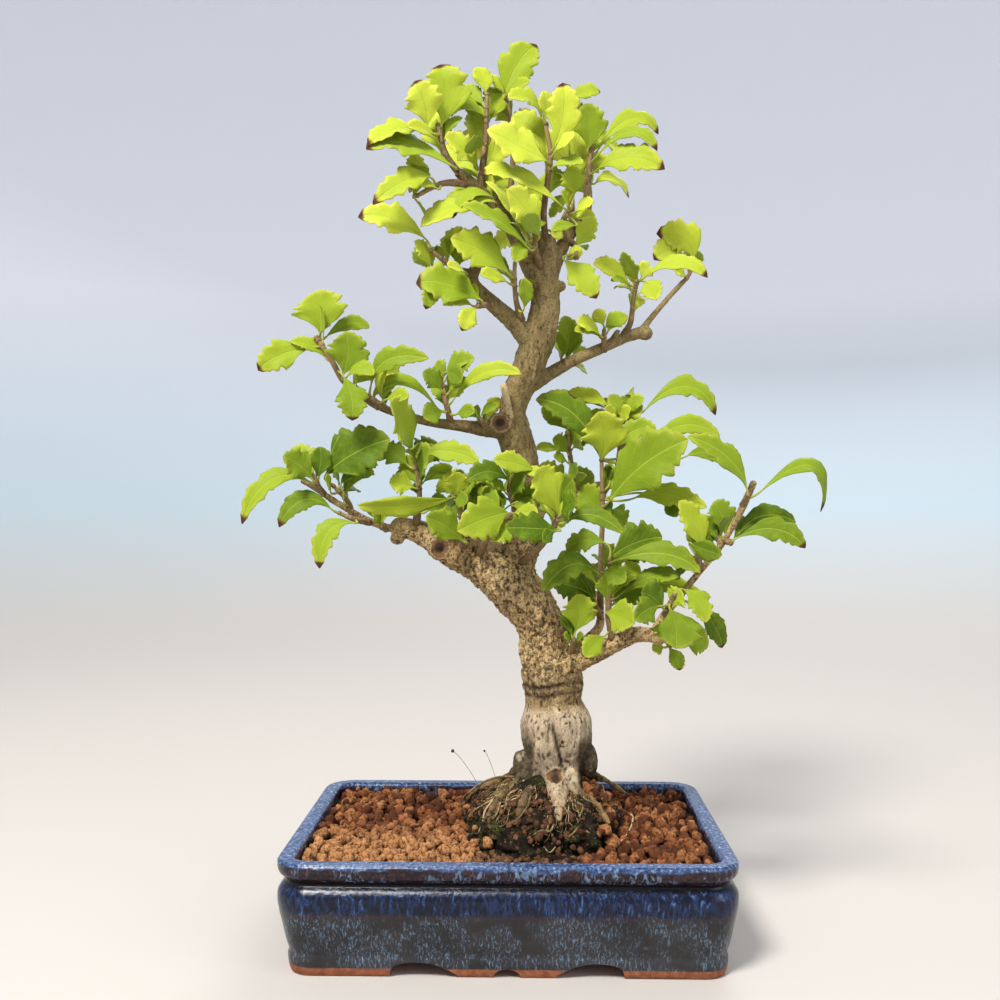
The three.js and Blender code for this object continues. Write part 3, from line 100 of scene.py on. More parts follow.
TRUNK_UPPER = [
    (256, 287, 2, 9), (261, 272, 2, 8.6), (263.5, 256, 2, 8), (263, 240, 1, 7.8), (261, 229, 0, 8),
    (257.2, 217, 0, 8.9), (256.5, 206, 0, 6.5), (258.6, 197, 0, 7.2), (263.7, 186, 0, 7.8),
    (268.7, 170, 0, 8.3), (272.2, 156, 0, 7.8), (272.5, 143, 0, 6.6), (273, 130, 0, 6.2),
    (272.5, 118, 0, 5.2),
]

BRANCHES = [
    [(264, 170, -3.5, 5), (257, 161, -5, 4.6), (249, 154, -7, 4.2),
        (240, 146, -8.5, 3.8), (236, 140, -10, 3.4), (239, 132, -10, 2.8)],
    [(275, 138, 1.5, 4.4), (279, 127, 5, 3.8), (285, 117, 8.5, 3.4),
        (292, 108, 12, 3), (293.6, 98, 13.5, 2.5), (293, 90, 15.5, 2.1)],
    [(269, 142, -1.5, 5), (262, 127, -5, 4.2), (252, 108, -10, 3.5),
        (240, 95, -15.5, 3), (229, 85.5, -20.5, 2.5)],
    [(266, 192, 1.5, 4.4), (275, 186.6, 7, 3.6), (285, 181, 10, 3.1),
        (300, 174.4, 13.5, 2.9), (313, 168.5, 20.5, 3), (321.5, 166, 24, 3.4)],
    [(319, 167, 24, 2), (325, 159, 27, 1.7), (333, 149.5, 30.5, 1.5),
        (340.7, 141, 34, 1.5)],
    [(304, 173, 15.5, 1.9), (306.5, 169, 13.5, 1.8), (309, 165, 12, 1.4)],
    [(256, 215, -1.5, 5), (245, 214.6, -5, 4.1), (231, 212.8, -10, 3),
        (216, 211, -13.5, 2.4), (200, 207, -18.5, 2.1), (188, 202.6, -24, 1.8)],
    [(256, 211, -3, 2.4), (254.5, 206, -8, 1.8), (253.6, 200, -10.6, 1.6),
        (252, 192, -12.4, 1.5)],
    [(206, 265, -5, 3), (197, 264.6, -7, 2.1), (183.4, 260, -13.5, 1.9),
        (174, 254.7, -17, 1.8), (165.5, 249.4, -20.5, 1.7), (158, 244.2, -24, 1.5),
        (150.5, 240, -25.5, 1.3)],
    [(277, 338, -3.5, 8), (284.4, 333, -8.5, 6), (298, 326.4, -12, 4.9),
        (310, 320.4, -15.5, 4.3), (319, 316.8, -18.5, 4), (328, 318, -20.5, 3.6)],
    [(276, 334, 0, 5), (285, 327, 3.5, 3.6), (294, 319.4, 7, 2.9),
        (299.6, 312.5, 10, 2.4), (299.6, 304, 12, 1.9)],
    [(327, 317.5, -18.5, 2.6), (331, 309, -17, 2.1), (337, 302, -17, 1.8),
        (342, 295.6, -18.5, 1.8), (350, 285.6, -24, 1.7), (359, 275.2, -29, 1.6), (365, 266, -34, 1.6),
        (371.7, 253.5, -37.5, 1.9), (377.6, 240.4, -41, 1.7)],
    [(266, 264, 8.5, 4), (272, 252, 27, 3), (284, 247.5, 37.5, 2.6),
        (297, 243, 42.5, 2.5), (305, 242, 44, 2.5), (308, 235, 44, 2.4), (313.6, 219, 44, 2.6)],
    [(252, 283, 8, 4.4), (247, 271, 24, 3.2), (240, 260, 38, 2.2)],
    [(276, 324, 8, 5), (286, 311, 24, 3.6), (298, 299, 38, 2.4)],
    [(272, 136, 4, 4), (269, 128, 21, 2.8), (264, 120, 37, 2)],
]

ROOTS = [
    {"start": (271, 378, -8, 5), "seen": [(267, 388, 3), (264, 398, 2.4), (260, 407, 1.7)]},
    {"start": (268, 380, -5, 4), "seen": [(258, 391, 2.3), (249, 401, 1.8), (241, 415, 1.3)]},
    {"start": (268, 378, 3, 4), "seen": [(252, 389, 1.8), (240, 394, 1.5), (231, 403, 1.3)]},
    {"start": (285, 384, -7, 5), "seen": [(289, 396, 2.8), (298, 401, 2), (305, 412, 1.5)]},
    {"start": (288, 378, 0, 4.4), "seen": [(295, 387, 2.2), (303, 390, 1.7), (311, 396, 1.3)]},
    {"start": (278, 376, 8, 5), "hidden": [(16.5, 20, 3), (6.5, 32, 2.2), (-0.5, 45, 1.5)]},
    {"start": (284, 376, 8, 4), "hidden": [(35.5, 18, 2.6), (44.5, 30, 1.7)]},
]

KNOBS = [
    {"at": (201, 263.5, -3), "radius": (6.5, 5.4, 5.2)},
    {"at": (198.5, 269.4, -3), "radius": (3.8, 3, 3.2)},
    {"at": (220, 273.8, -7.5), "radius": (6.2, 3.6, 6)},
    {"at": (250.5, 211, -6), "radius": (5.4, 3.8, 4.8)},
    {"at": (279.5, 143.2, -2), "radius": (3.4, 3.4, 3)},
    {"at": (322, 167, 24), "radius": (4, 3.8, 3.8)},
    {"at": (329.5, 318, -20), "radius": (4.4, 4, 4.2)},
    {"at": (261.5, 382, -3), "radius": (5, 5.6, 7)},
    {"at": (294, 380, -2), "radius": (5, 5.6, 8)},
]

# Shoots. A twig's rows are s, t, distance behind the sheet and radius. A leaf's row is its base s, t,
# its tip s, t, how far the tip leans back, its width and the turn of its blade in degrees, then, for
# a bowed leaf, a place s, t that its midrib passes.
SHOOTS = {
    "shoot_crown_left_outer": {
        "twig": [(231, 88, -18.5, 2), (224, 78, -21, 1.7), (221, 69, -23, 1.4), (219.5, 62, -24, 1.1)],
        "leaves": [
            (214, 63, 208, 40, -10, 17, 10), (221.5, 62, 220.5, 31, -3, 22, 12),
            (215, 66, 184, 70, -17, 15, 74, 199, 60.5), (222, 68, 225, 59, 10, 7, 20),
            (221, 76, 214, 58, 14, 15, 40), (227, 83, 183.5, 71, -24, 19, 62, 205, 67),
            (219, 60, 232, 53, 20, 12, 130),
        ],
    },
    "shoot_crown_left_inner": {
        "twig": [(240, 97, -15.5, 2.3), (241.5, 85, -15.5, 1.9), (243, 70, -13.5, 1.8),
            (243.5, 56, -13.5, 1.2), (244, 47, -13.5, 1)],
        "leaves": [
            (237.5, 82, 235, 56, 7, 14, 55), (239.5, 84, 223, 68, -14, 17, 35),
            (241.5, 52, 230, 44, 7, 9, 40), (243, 58, 225.5, 49.5, -8, 13, 60, 234, 50.5),
            (243, 46, 238, 33.5, 5, 10, 30), (245, 60, 246, 43, 12, 12, 30),
            (243, 72, 233, 75, -14, 8, 120),
        ],
    },
    "shoot_crown_top": {
        "twig": [(253, 111, -8.5, 1.9), (255.5, 92, 0, 1.6), (256.5, 74, 1.5, 1.4), (255, 59, 0, 1.3),
            (252, 46, 0, 1.1)],
        "leaves": [
            (252, 49, 268.5, 21, 3, 18, 10), (254, 47, 265, 41, -10, 8, 30),
            (252, 47, 244, 38, -7, 9, 45), (256, 62, 247, 53, 17, 11, 35),
            (257, 72, 266, 57, 20, 13, 25),
        ],
    },
    "shoot_crown_centre": {
        "twig": [(273, 121, -3.5, 2), (272, 107, -8.5, 1.7), (274, 91, -10, 1.6), (275.5, 77, -12, 1.4),
            (273, 62, -13.5, 1.1)],
        "leaves": [
            (271.5, 59, 254.5, 49, -10, 12, 62, 266, 45.5), (272.5, 60, 272, 45.5, -3, 8, 25),
            (277, 74, 282, 41, -7, 16, 10), (273.5, 80.5, 244.5, 64.5, -17, 22, 38, 261, 74),
            (274.5, 76, 256, 57.5, 8, 16, 30), (278, 76, 288, 68, -10, 9, 40),
            (276.5, 84, 292, 82, -7, 10, 72, 284, 79),
        ],
    },
    "shoot_crown_right_top": {
        "twig": [(293.2, 93, 14.5, 2.1), (294.6, 81, 15.5, 1.7), (294.4, 67, 15.5, 1.3), (288, 54, 13.5, 1)],
        "leaves": [
            (285, 50, 300, 45.2, 3, 9, 40), (293.5, 75, 292, 52, -8, 17, 15),
            (298, 76, 330, 66, 10, 11, 40, 313, 56.5), (298.5, 78, 329, 74, -17, 8, 50, 315, 64),
            (298.5, 85, 332, 83, -18, 16, 38, 313, 73.5), (297, 92, 314.6, 98.6, -7, 10, 60, 306, 87),
            (292, 66, 283, 58, 17, 12, 30), (297, 70, 309, 76, 20, 12, 40),
        ],
    },
    "shoot_crown_right_low": {
        "twig": [(282, 121, 5, 2.3), (281.5, 111, -5, 1.7), (285.5, 104, -9, 1.3)],
        "leaves": [
            (282, 104, 241.5, 84.5, -14, 14, 58, 262, 84.5), (288, 106, 297, 101, -7, 8, 40),
            (284.5, 105, 281, 96.5, -10, 10, 30), (287, 98, 284, 84, -7, 12, 20),
            (280, 112, 276, 117, -8, 7, 40, 281, 117.5), (288, 113, 276.5, 115.5, -14, 6, 55),
        ],
    },
    "shoot_crown_right_mid": {
        "twig": [(284, 120, 7, 2.2), (288, 124, 2, 1.6), (288, 129, -5, 1.2)],
        "leaves": [
            (287, 123.5, 296.5, 108, 10, 11, 30, 293, 116.5),
            (282, 130, 298.5, 148.5, -10, 14, 20, 292, 137), (284, 129, 291.5, 126.5, -3, 9, 40),
        ],
    },
    "shoot_crown_front": {
        "twig": [(270.5, 134, -5, 2.1), (268, 124, -13.5, 1.6), (268.5, 114, -20.5, 1.2)],
        "leaves": [
            (270, 117, 254, 95, -10, 18, 8), (264.5, 122, 244, 90, 7, 10, 58),
            (264.5, 124, 232, 102, -3, 14, 60), (264, 121, 258, 131, -10, 8, 40),
            (270, 118, 263, 108, -14, 9, 120),
        ],
    },
    "shoot_crown_left_low": {
        "twig": [(236, 92, -17, 2.4), (222, 91.5, -24, 1.5), (209, 97.5, -27, 1.2)],
        "leaves": [
            (207, 98, 207, 76, 3, 12, 50), (216, 88.5, 187, 100, -17, 13, 58, 204, 85.5),
            (219, 94, 206, 90, -10, 7, 50), (208, 99, 214, 111, 14, 11, 60),
        ],
    },
    "shoot_crown_limb": {
        "twig": [(254, 111, -8.5, 2.1), (250.5, 103, -17, 1.6), (248, 97.5, -22, 1.2)],
        "leaves": [
            (248, 101, 211, 113, -10, 15, 58, 229, 97), (248, 99, 226, 108, 8, 12, 66, 233, 94),
            (246.5, 98, 240, 88, 10, 8, 40),
        ],
    },
    "shoot_crown_stub_left": {
        "twig": [(238, 137, -10, 2.4), (228, 134, -17, 1.6), (216, 125, -22, 1.2)],
        "leaves": [
            (213, 119, 180, 106, -14, 15, 38, 199.8, 104.1), (215, 134, 208, 120, -5, 12, 42),
            (224, 131, 231, 113, 8, 11, 45, 223, 120), (233, 136, 224.5, 133, -14, 7, 55),
            (221, 139, 214, 154, -10, 8, 40), (219, 127, 207, 131, 14, 12, 120),
        ],
    },
    "shoot_crown_twig": {
        "twig": [(261, 160, -7, 2.2), (258.5, 151, -13.5, 1.5), (257.6, 139, -17, 1.3), (258, 130, -17, 1.1)],
        "leaves": [
            (254.5, 136.5, 226, 119, -10, 18, 12), (254, 141, 241, 137.5, -14, 9, 50),
            (262.5, 154, 262, 139, -7, 7, 30),
        ],
    },
    "shoot_stub_branch": {
        "twig": [(246, 152, -7, 2.4), (242, 152.5, -15.5, 1.6), (239, 153, -20.5, 1.2)],
        "leaves": [
            (241, 150, 209, 140, -7, 20, 28), (238.5, 154, 232, 165, -10, 9, 38),
        ],
    },
    "shoot_crown_back_left": {
        "twig": [(255, 114, -7.5, 2.2), (247, 100, 23, 1.6), (239, 88, 40, 1.2)],
        "leaves": [
            (238, 87, 222, 72, 10, 17, 20), (239, 87, 247, 70, 7, 16, 30),
            (239, 90, 226, 97, 12, 14, 40), (243, 95, 257, 86, 12, 15, 40),
            (246, 100, 233, 103, 8, 14, 110),
        ],
    },
    "shoot_crown_back_right": {
        "twig": [(286, 115, 6, 2.2), (285, 98, 29.5, 1.6), (284, 84, 46.5, 1.2)],
        "leaves": [
            (284, 83, 289, 60, 8, 17, 20), (283, 84, 267, 67, 8, 17, 20),
            (285, 88, 303, 80, 12, 15, 45), (284, 92, 268, 92, 14, 14, 30),
            (285, 98, 274, 109, 12, 13, 40), (285, 97, 296, 88, 7, 14, 110),
        ],
    },
    "shoot_crown_back_low": {
        "twig": [(267, 125, 29.5, 2), (262, 116, 46.5, 1.5), (258, 108, 59, 1.2)],
        "leaves": [
            (257, 107, 244, 96, 7, 16, 20), (258, 107, 270, 92, 7, 16, 30),
            (261, 115, 246, 124, 10, 15, 30), (262, 118, 277, 126, 10, 13, 40),
            (259, 110, 259, 90, 12, 14, 60),
        ],
    },
    "shoot_trunk_back": {
        "twig": [(279, 184, 8.5, 2), (283, 180.5, 20.5, 1.3)],
        "leaves": [
            (282.5, 179, 281.5, 158, 7, 14, 30), (280.5, 179.5, 276, 172, 20, 9, 150),
            (286, 181, 293, 175, 14, 8, 50), (287, 183, 292.5, 186.5, 14, 7, 50),
        ],
    },
    "shoot_right_upper_tip": {
        "twig": [(339.5, 142.5, 33.5, 1.3), (343, 138.5, 35.5, 1.2), (345.5, 133.5, 37.5, 1)],
        "leaves": [
            (345, 131, 327.8, 116.8, -7, 18, 18, 345.8, 115),
            (341, 130, 326.7, 129.5, -14, 14, 32, 334, 120.5), (342, 139, 335, 134.5, -7, 8, 40),
            (347, 132, 349.5, 127, 7, 6, 40),
        ],
    },
    "shoot_right_upper_mid": {
        "twig": [(311, 167.6, 20.5, 2), (314.5, 162, 19.5, 1.7), (316, 151, 17, 1.3),
            (317.8, 141, 13.5, 1.1)],
        "leaves": [
            (318.5, 141, 311.2, 126, -7, 14, 14, 315.5, 134.5),
            (322.5, 138.5, 354, 137.5, -14, 10, 56, 338, 128.5),
            (314.5, 144, 296.5, 132, -10, 10, 34, 307.5, 131.5), (313.5, 142, 306, 140, -17, 5, 55),
            (321.5, 141, 328, 150.5, -14, 11, 24, 326.5, 143), (320, 139, 324.5, 133, 7, 9, 30),
        ],
    },
    "shoot_right_upper_low": {
        "twig": [(301.5, 176, 12, 2.1), (301.7, 169, 8.5, 1.4), (301.9, 164, 7, 1)],
        "leaves": [
            (299.5, 167.5, 288.5, 161.7, -7, 9, 45, 295, 159.5), (302.5, 164, 312.6, 158.5, 5, 9, 45),
            (301.5, 163, 296.5, 155.5, 7, 7, 45),
        ],
    },
    "shoot_left_mid_tip": {
        "twig": [(190, 203.6, -23, 2.1), (179, 196.4, -25.5, 1.8), (171.6, 189.6, -27, 1.6),
            (166.5, 180.5, -29, 1.5), (161.3, 172.6, -30.5, 1.4), (157.6, 167.6, -30.5, 1.2)],
        "leaves": [
            (160.2, 166, 157, 145.5, 0, 24, 8), (163.5, 168, 185, 163.7, 10, 8, 40, 174.5, 158.5),
            (160.5, 167, 164, 151, 18, 12, 20), (172, 187, 173.5, 165.5, -4, 19, 10),
            (156, 173.5, 128.7, 184.2, -6, 14, 15), (174, 188, 187.6, 187.4, -7, 8, 42, 181, 181),
            (177, 192, 187, 184.5, 10, 9, 60), (172.5, 188.5, 176.6, 209.5, -8, 14, 10),
            (178.8, 195, 177.8, 187, -7, 3, 10),
        ],
    },
    "shoot_left_mid_middle": {
        "twig": [(201, 208, -17, 2), (192, 203, -25.5, 1.5), (185, 198, -29, 1.2)],
        "leaves": [
            (186, 192.5, 215, 178.8, -10, 11, 28, 193, 175.5), (194, 199.5, 205, 198.5, -10, 8, 40),
            (188, 196, 199, 181, 20, 12, 30),
        ],
    },
    "shoot_left_mid_root": {
        "twig": [(226, 213.4, -10, 2.2), (224.5, 206, -15.5, 1.6), (222.5, 198, -15.5, 1.4),
            (221, 189, -15.5, 1.1)],
        "leaves": [
            (219, 204, 186.6, 198.4, -10, 7, 50, 202, 187.5), (221, 195, 212, 186, -7, 11, 20),
            (221, 191, 218, 181.5, 7, 12, 20), (223, 187, 237.5, 179, 3, 12, 25),
            (224, 186, 231.5, 191, -14, 9, 25), (227, 200, 261.3, 187, -12, 8, 30, 242, 183),
            (221.5, 206, 212.5, 209, -10, 10, 22), (229, 207, 238, 206.5, -14, 7, 35),
            (224, 200, 231, 186, 24, 12, 30),
        ],
    },
    "shoot_left_mid_spur": {
        "twig": [(243, 214, -7, 2), (240.5, 209.5, -15.5, 1.2)],
        "leaves": [
            (240.7, 208, 249.7, 202.3, -5, 5, 30, 244, 202.5), (239, 209.5, 238, 205.5, -5, 5, 30),
        ],
    },
    "shoot_left_low_tip": {
        "twig": [(162, 247, -22, 1.9), (159.4, 243, -28, 1.5), (156.5, 236.5, -30.5, 1.2)],
        "leaves": [
            (155.5, 241, 119.7, 261.5, -10, 11, 50, 134, 236.5), (156.5, 239.5, 142, 228, -8, 15, 20),
            (158.5, 238.5, 160, 223, 5, 10, 36), (157, 238, 146, 223.5, 14, 12, 60),
        ],
    },
    "shoot_left_low_mid": {
        "twig": [(176, 257, -14.5, 1.9), (173.6, 250, -18.5, 1.4), (167, 243, -22, 1.2)],
        "leaves": [
            (163, 237.5, 195.5, 219.5, -8, 24, 20, 174, 222),
            (173, 246, 188.5, 223, 8, 15, 10, 176, 231), (165.5, 246, 163, 238.5, -10, 8, 15),
            (169.5, 241, 164.5, 232, 8, 9, 150), (172, 251, 171, 243.5, -8, 6, 30),
        ],
    },
    "shoot_left_low_front": {
        "twig": [(185, 261.4, -13.5, 1.9), (177, 259.6, -24.5, 1.4), (170, 256.5, -27, 1.1)],
        "leaves": [
            (166, 254.5, 139, 263, -12, 10, 45, 151, 246.5),
            (177.5, 261.5, 159.5, 284, -12, 11, 38, 161.5, 263),
        ],
    },
    "shoot_left_low_spur": {
        "twig": [(193, 264.6, -8, 2.1), (190.5, 263.5, -15.5, 1.1)],
        "leaves": [
            (190, 262.5, 186, 255, -7, 9, 30), (190.5, 262, 194, 256.5, -5, 7, 40),
        ],
    },
    "shoot_left_centre_top": {
        "twig": [(208, 262, -5, 2.4), (210, 250, -13.5, 1.5), (209.5, 241, -15.5, 1.3),
            (207, 229, -15.5, 1.1)],
        "leaves": [
            (206.5, 227, 196, 201, -4, 25, 10), (208.5, 227, 240, 231.5, -7, 11, 32, 226, 221.5),
            (210.5, 240, 216, 224.5, -12, 17, 10), (208.5, 242, 201.5, 229, 5, 14, 14),
            (207.5, 244, 195, 241.5, -5, 11, 25), (212, 241, 226.5, 233.5, 7, 7, 36),
            (204, 232.5, 189.5, 224, 8, 12, 36), (208, 232, 219, 222, 20, 15, 60),
            (214, 255.5, 224.5, 251, -5, 10, 18),
        ],
    },
    "shoot_left_centre": {
        "twig": [(232, 274, -12, 2.2), (231.5, 262, -17, 1.5), (229.5, 252, -18.5, 1.3),
            (228, 247.5, -18.5, 1.1)],
        "leaves": [
            (227.5, 247.5, 228, 236, -7, 12, 10), (226, 247, 220.5, 239, 7, 13, 24),
            (230, 247.5, 239, 240, -5, 9, 38), (228, 250, 234.5, 251.5, -12, 8, 30),
            (226, 249, 179.2, 253, -14, 10, 44, 204, 256),
            (232.5, 271, 213.5, 258.5, -10, 14, 20, 225, 260.5), (227, 257, 222.5, 255, -7, 5, 50),
            (229, 250, 222, 258, 20, 14, 40), (230, 252, 241, 258, 24, 14, 50),
        ],
    },
    "shoot_centre_front": {
        "twig": [(240, 277, -8.5, 2.2), (243.5, 270.5, -22, 1.7), (249, 263, -30.5, 1.4),
            (256, 257.5, -35.5, 1.1)],
        "leaves": [
            (255, 256.5, 229.7, 265.5, -10, 19, 14, 244, 256), (258, 256.5, 270, 257.5, -8, 8, 36),
            (253, 255.5, 239.5, 250, 7, 9, 42), (260, 262, 246, 270, -5, 12, 22),
            (242, 268, 237, 266.5, -8, 6, 36), (249, 262, 236, 246, 20, 15, 40),
        ],
    },
    "shoot_centre_right": {
        "twig": [(261, 281, -5.5, 2.2), (269, 275, -24, 1.9), (277, 265, -32.5, 1.5),
            (280, 258.5, -35.5, 1.2)],
        "leaves": [
            (281, 259, 269, 235, -8, 22, 10, 274, 242), (276.5, 260, 268, 243, 8, 15, 160),
            (281.5, 257, 289.5, 251, -8, 13, 20), (280.5, 265.5, 254, 264, -14, 14, 36, 268, 263),
            (283.5, 261, 313, 267, -10, 8, 40, 298, 254.5), (279, 256, 287, 239, 5, 15, 22),
            (277, 266, 273, 271, -14, 6, 40),
        ],
    },
    "shoot_centre_top": {
        "twig": [(262, 262, -8.5, 2.3), (257, 252, -15.5, 1.6), (255, 243, -17, 1.3), (258, 236, -18.5, 1.1)],
        "leaves": [
            (255, 240.5, 234.5, 240, -8, 11, 34, 245, 231.5),
            (268, 235.5, 247.4, 230, -12, 10, 28, 258, 229), (261, 236, 273, 237.5, -7, 6, 60),
            (253, 246, 246.5, 241, -7, 6, 38), (253, 249, 234, 246, 5, 9, 48),
            (257, 248, 263, 238, -7, 13, 20), (257, 250, 270, 247, -7, 11, 40),
            (257, 253, 268, 254.5, -5, 9, 50),
        ],
    },
    "shoot_centre_back_left": {
        "twig": [(243, 265, 32.5, 2.3), (237, 254, 48.5, 1.6), (232, 246, 59, 1.2)],
        "leaves": [
            (232, 247, 220, 238, 7, 14, 20), (234, 250, 247, 240, 7, 14, 30),
            (235, 251, 219, 256, 8, 15, 50), (237, 254, 252, 250, 10, 15, 40),
            (233, 252, 233, 238, 12, 14, 60),
        ],
    },
    "shoot_centre_back_right": {
        "twig": [(274, 251, 18, 2.4), (278, 250, 36, 1.6), (280, 247, 52.5, 1.2)],
        "leaves": [
            (280, 246, 268, 233, 7, 16, 20), (281, 246, 296, 238, 7, 15, 30),
            (280, 249, 266, 256, 8, 15, 50), (281, 250, 296, 256, 10, 15, 40),
            (280, 247, 281, 262, 12, 14, 60),
        ],
    },
    "shoot_right_centre_left": {
        "twig": [(285.5, 247, 37.5, 2.2), (285.8, 237, 27, 1.5), (284.2, 226, 22, 1.3),
            (283.2, 216, 20.5, 1.1)],
        "leaves": [
            (283.2, 215, 270, 204, 7, 10, 22), (286, 221, 292.5, 212.5, 7, 9, 28),
            (283, 226, 276, 219.5, -5, 11, 18), (279, 225, 267.8, 224.5, -10, 6, 55),
            (284.5, 232.5, 287.5, 239, -10, 9, 24), (283, 231, 276.5, 228.5, -8, 6, 38),
            (286, 224, 290.5, 222, 14, 7, 40),
        ],
    },
    "shoot_right_centre_top": {
        "twig": [(299.8, 305, 12, 2), (300, 281, 12, 1.5), (301, 256, 10, 1.4), (300.5, 230, 8.5, 1.1)],
        "leaves": [
            (300, 229, 268, 199.5, -7, 16, 28, 291, 203), (300.8, 229, 299, 206, -10, 22, 10),
            (302, 228, 327.5, 215, -7, 11, 24, 314, 212), (304.5, 250.5, 344, 220, -24, 28, 10),
            (324, 222.5, 359, 218.5, 8, 10, 36, 342, 209), (317, 249, 353, 254, -12, 12, 36, 334, 243),
            (332, 250, 338, 258.5, -8, 8, 30), (343, 228, 366, 232, 7, 9, 42, 354, 223.5),
            (299, 257, 289, 245, 8, 17, 14), (303.5, 256, 312, 263, 7, 15, 18),
            (304.5, 240.5, 301.5, 234.5, 7, 8, 20), (302, 244, 306, 233, 14, 9, 30),
        ],
    },
    "shoot_right_top_small": {
        "twig": [(307.8, 236.5, 42.5, 2.1), (309, 225, 32.5, 1.5), (309.6, 211, 22, 1.3),
            (313, 205, 20.5, 1.1), (316.8, 197, 20.5, 1.5)],
        "leaves": [
            (309, 209, 304, 197.5, 3, 9, 28), (312, 208, 321.5, 199, -7, 8, 45, 315, 200.5),
            (312, 211, 321, 203, -5, 10, 28), (310, 212, 315, 204, -10, 9, 14),
            (308, 212, 302, 204, -7, 9, 28), (304, 203.5, 283.5, 196, 5, 9, 50, 295, 196),
            (297, 202, 268.5, 199, 10, 9, 56, 283, 197),
            (321.5, 205.5, 358.5, 207, 3, 11, 36, 342, 189.5), (298, 217, 290, 223, 10, 6, 38),
        ],
    },
    "shoot_right_long_tip": {
        "twig": [(372, 252.5, -37.5, 2.1), (374.5, 247.5, -46, 1.3)],
        "leaves": [
            (374, 244.5, 345, 218, -7, 11, 30, 367, 225),
            (381, 245.5, 412.5, 256, 10, 10, 74, 406.5, 230.5),
        ],
    },
    "shoot_right_long_mid": {
        "twig": [(362.5, 270, -31.5, 1.8), (366, 271.5, -39, 1.2)],
        "leaves": [
            (368.5, 269, 403.5, 273.5, -10, 11, 30, 388, 260),
            (369, 267.5, 398, 261, 7, 10, 36, 381, 254),
        ],
    },
    "shoot_right_long_left": {
        "twig": [(360.4, 273.2, -29.5, 1.7), (359.4, 268.5, -21, 1.2)],
        "leaves": [
            (363, 268, 356.5, 251, 5, 13, 15, 364, 256), (361, 268, 350, 262, 14, 10, 40),
        ],
    },
    "shoot_right_long_low": {
        "twig": [(351, 284.4, -24.5, 2), (349, 278, -31.5, 1.3)],
        "leaves": [
            (352, 276, 340, 250.5, -5, 13, 12), (346, 271.5, 361.5, 277.5, -14, 9, 32, 353, 275.5),
            (346, 281, 338, 290, 10, 10, 60),
        ],
    },
    "shoot_right_low_mid": {
        "twig": [(306.5, 320, -17, 2.1), (304.5, 306, -18.5, 1.7), (305.5, 294, -17, 1.4),
            (305, 280, -15.5, 1.1)],
        "leaves": [
            (306, 281, 350.5, 286, -14, 12, 30, 332, 272), (305.5, 278.5, 331, 268.5, 8, 19, 18),
            (303, 271.5, 283, 275, 7, 11, 32, 292, 266),
            (299, 286, 272, 295.5, -10, 14, 36, 284, 277.5), (301.5, 286, 313.5, 291, -10, 11, 36),
            (303, 300, 303, 286.5, -7, 12, 20), (309.5, 298, 340, 288, -10, 10, 62, 325, 285.5),
            (310, 299, 352, 298, 7, 10, 60, 331, 288.5), (308, 296, 320, 283, 10, 13, 18),
            (308, 301, 322.5, 294, 5, 13, 28), (303.5, 306.5, 317.5, 312, -15, 16, 18),
            (302.5, 318, 293, 328.5, -8, 10, 28),
        ],
    },
    "shoot_right_low_left": {
        "twig": [(299.7, 308, 11, 2), (297.5, 302, 0, 1.3)],
        "leaves": [
            (297.5, 299.5, 276, 291, -7, 15, 12), (296, 305, 283.5, 306, 10, 12, 50),
        ],
    },
    "shoot_right_fork": {
        "twig": [(285.5, 328, -8.5, 2.4), (287.5, 319.5, -18.5, 1.2)],
        "leaves": [
            (288, 315.5, 289, 297, -3, 16, 10), (285.5, 321.5, 282.5, 317.5, -7, 6, 36),
            (288.5, 320.5, 292, 317.5, -7, 5, 36),
        ],
    },
    "shoot_right_low_end": {
        "twig": [(332.5, 307, -17, 1.9), (334, 304.5, -26.5, 1.5), (337.5, 297.5, -30.5, 1.1)],
        "leaves": [
            (335.5, 304.5, 338.5, 324, -10, 23, 10), (332, 304, 321.5, 296, -5, 17, 18),
            (337, 303, 342, 296, -8, 13, 24), (342, 294.5, 353.5, 311, -7, 11, 32, 353, 298),
            (350, 304, 362.3, 324, 8, 10, 24, 359.5, 310), (330, 303, 318.5, 310, -14, 12, 28),
        ],
    },
    "shoot_right_low_under": {
        "twig": [(329, 317, -20.5, 2.4), (333.5, 320.5, -14.5, 1.4), (335.5, 323, -12, 1.1)],
        "leaves": [
            (340, 320, 354, 322.5, 10, 13, 18), (334.5, 323.5, 340, 335, -3, 7, 32),
            (332, 323.5, 326.5, 325, -5, 6, 28),
        ],
    },
    "shoot_low_back": {
        "twig": [(296, 301, 37, 2.4), (303, 291, 52.5, 1.6), (308, 283, 63, 1.2)],
        "leaves": [
            (308, 284, 299, 274, 7, 13, 20), (308, 282, 321, 272, 7, 15, 30),
            (304, 289, 288, 291, 8, 15, 50), (305, 290, 321, 294, 10, 15, 40),
            (307, 285, 307, 303, 10, 14, 60), (300, 296, 288, 306, 7, 14, 40),
        ],
    },
}

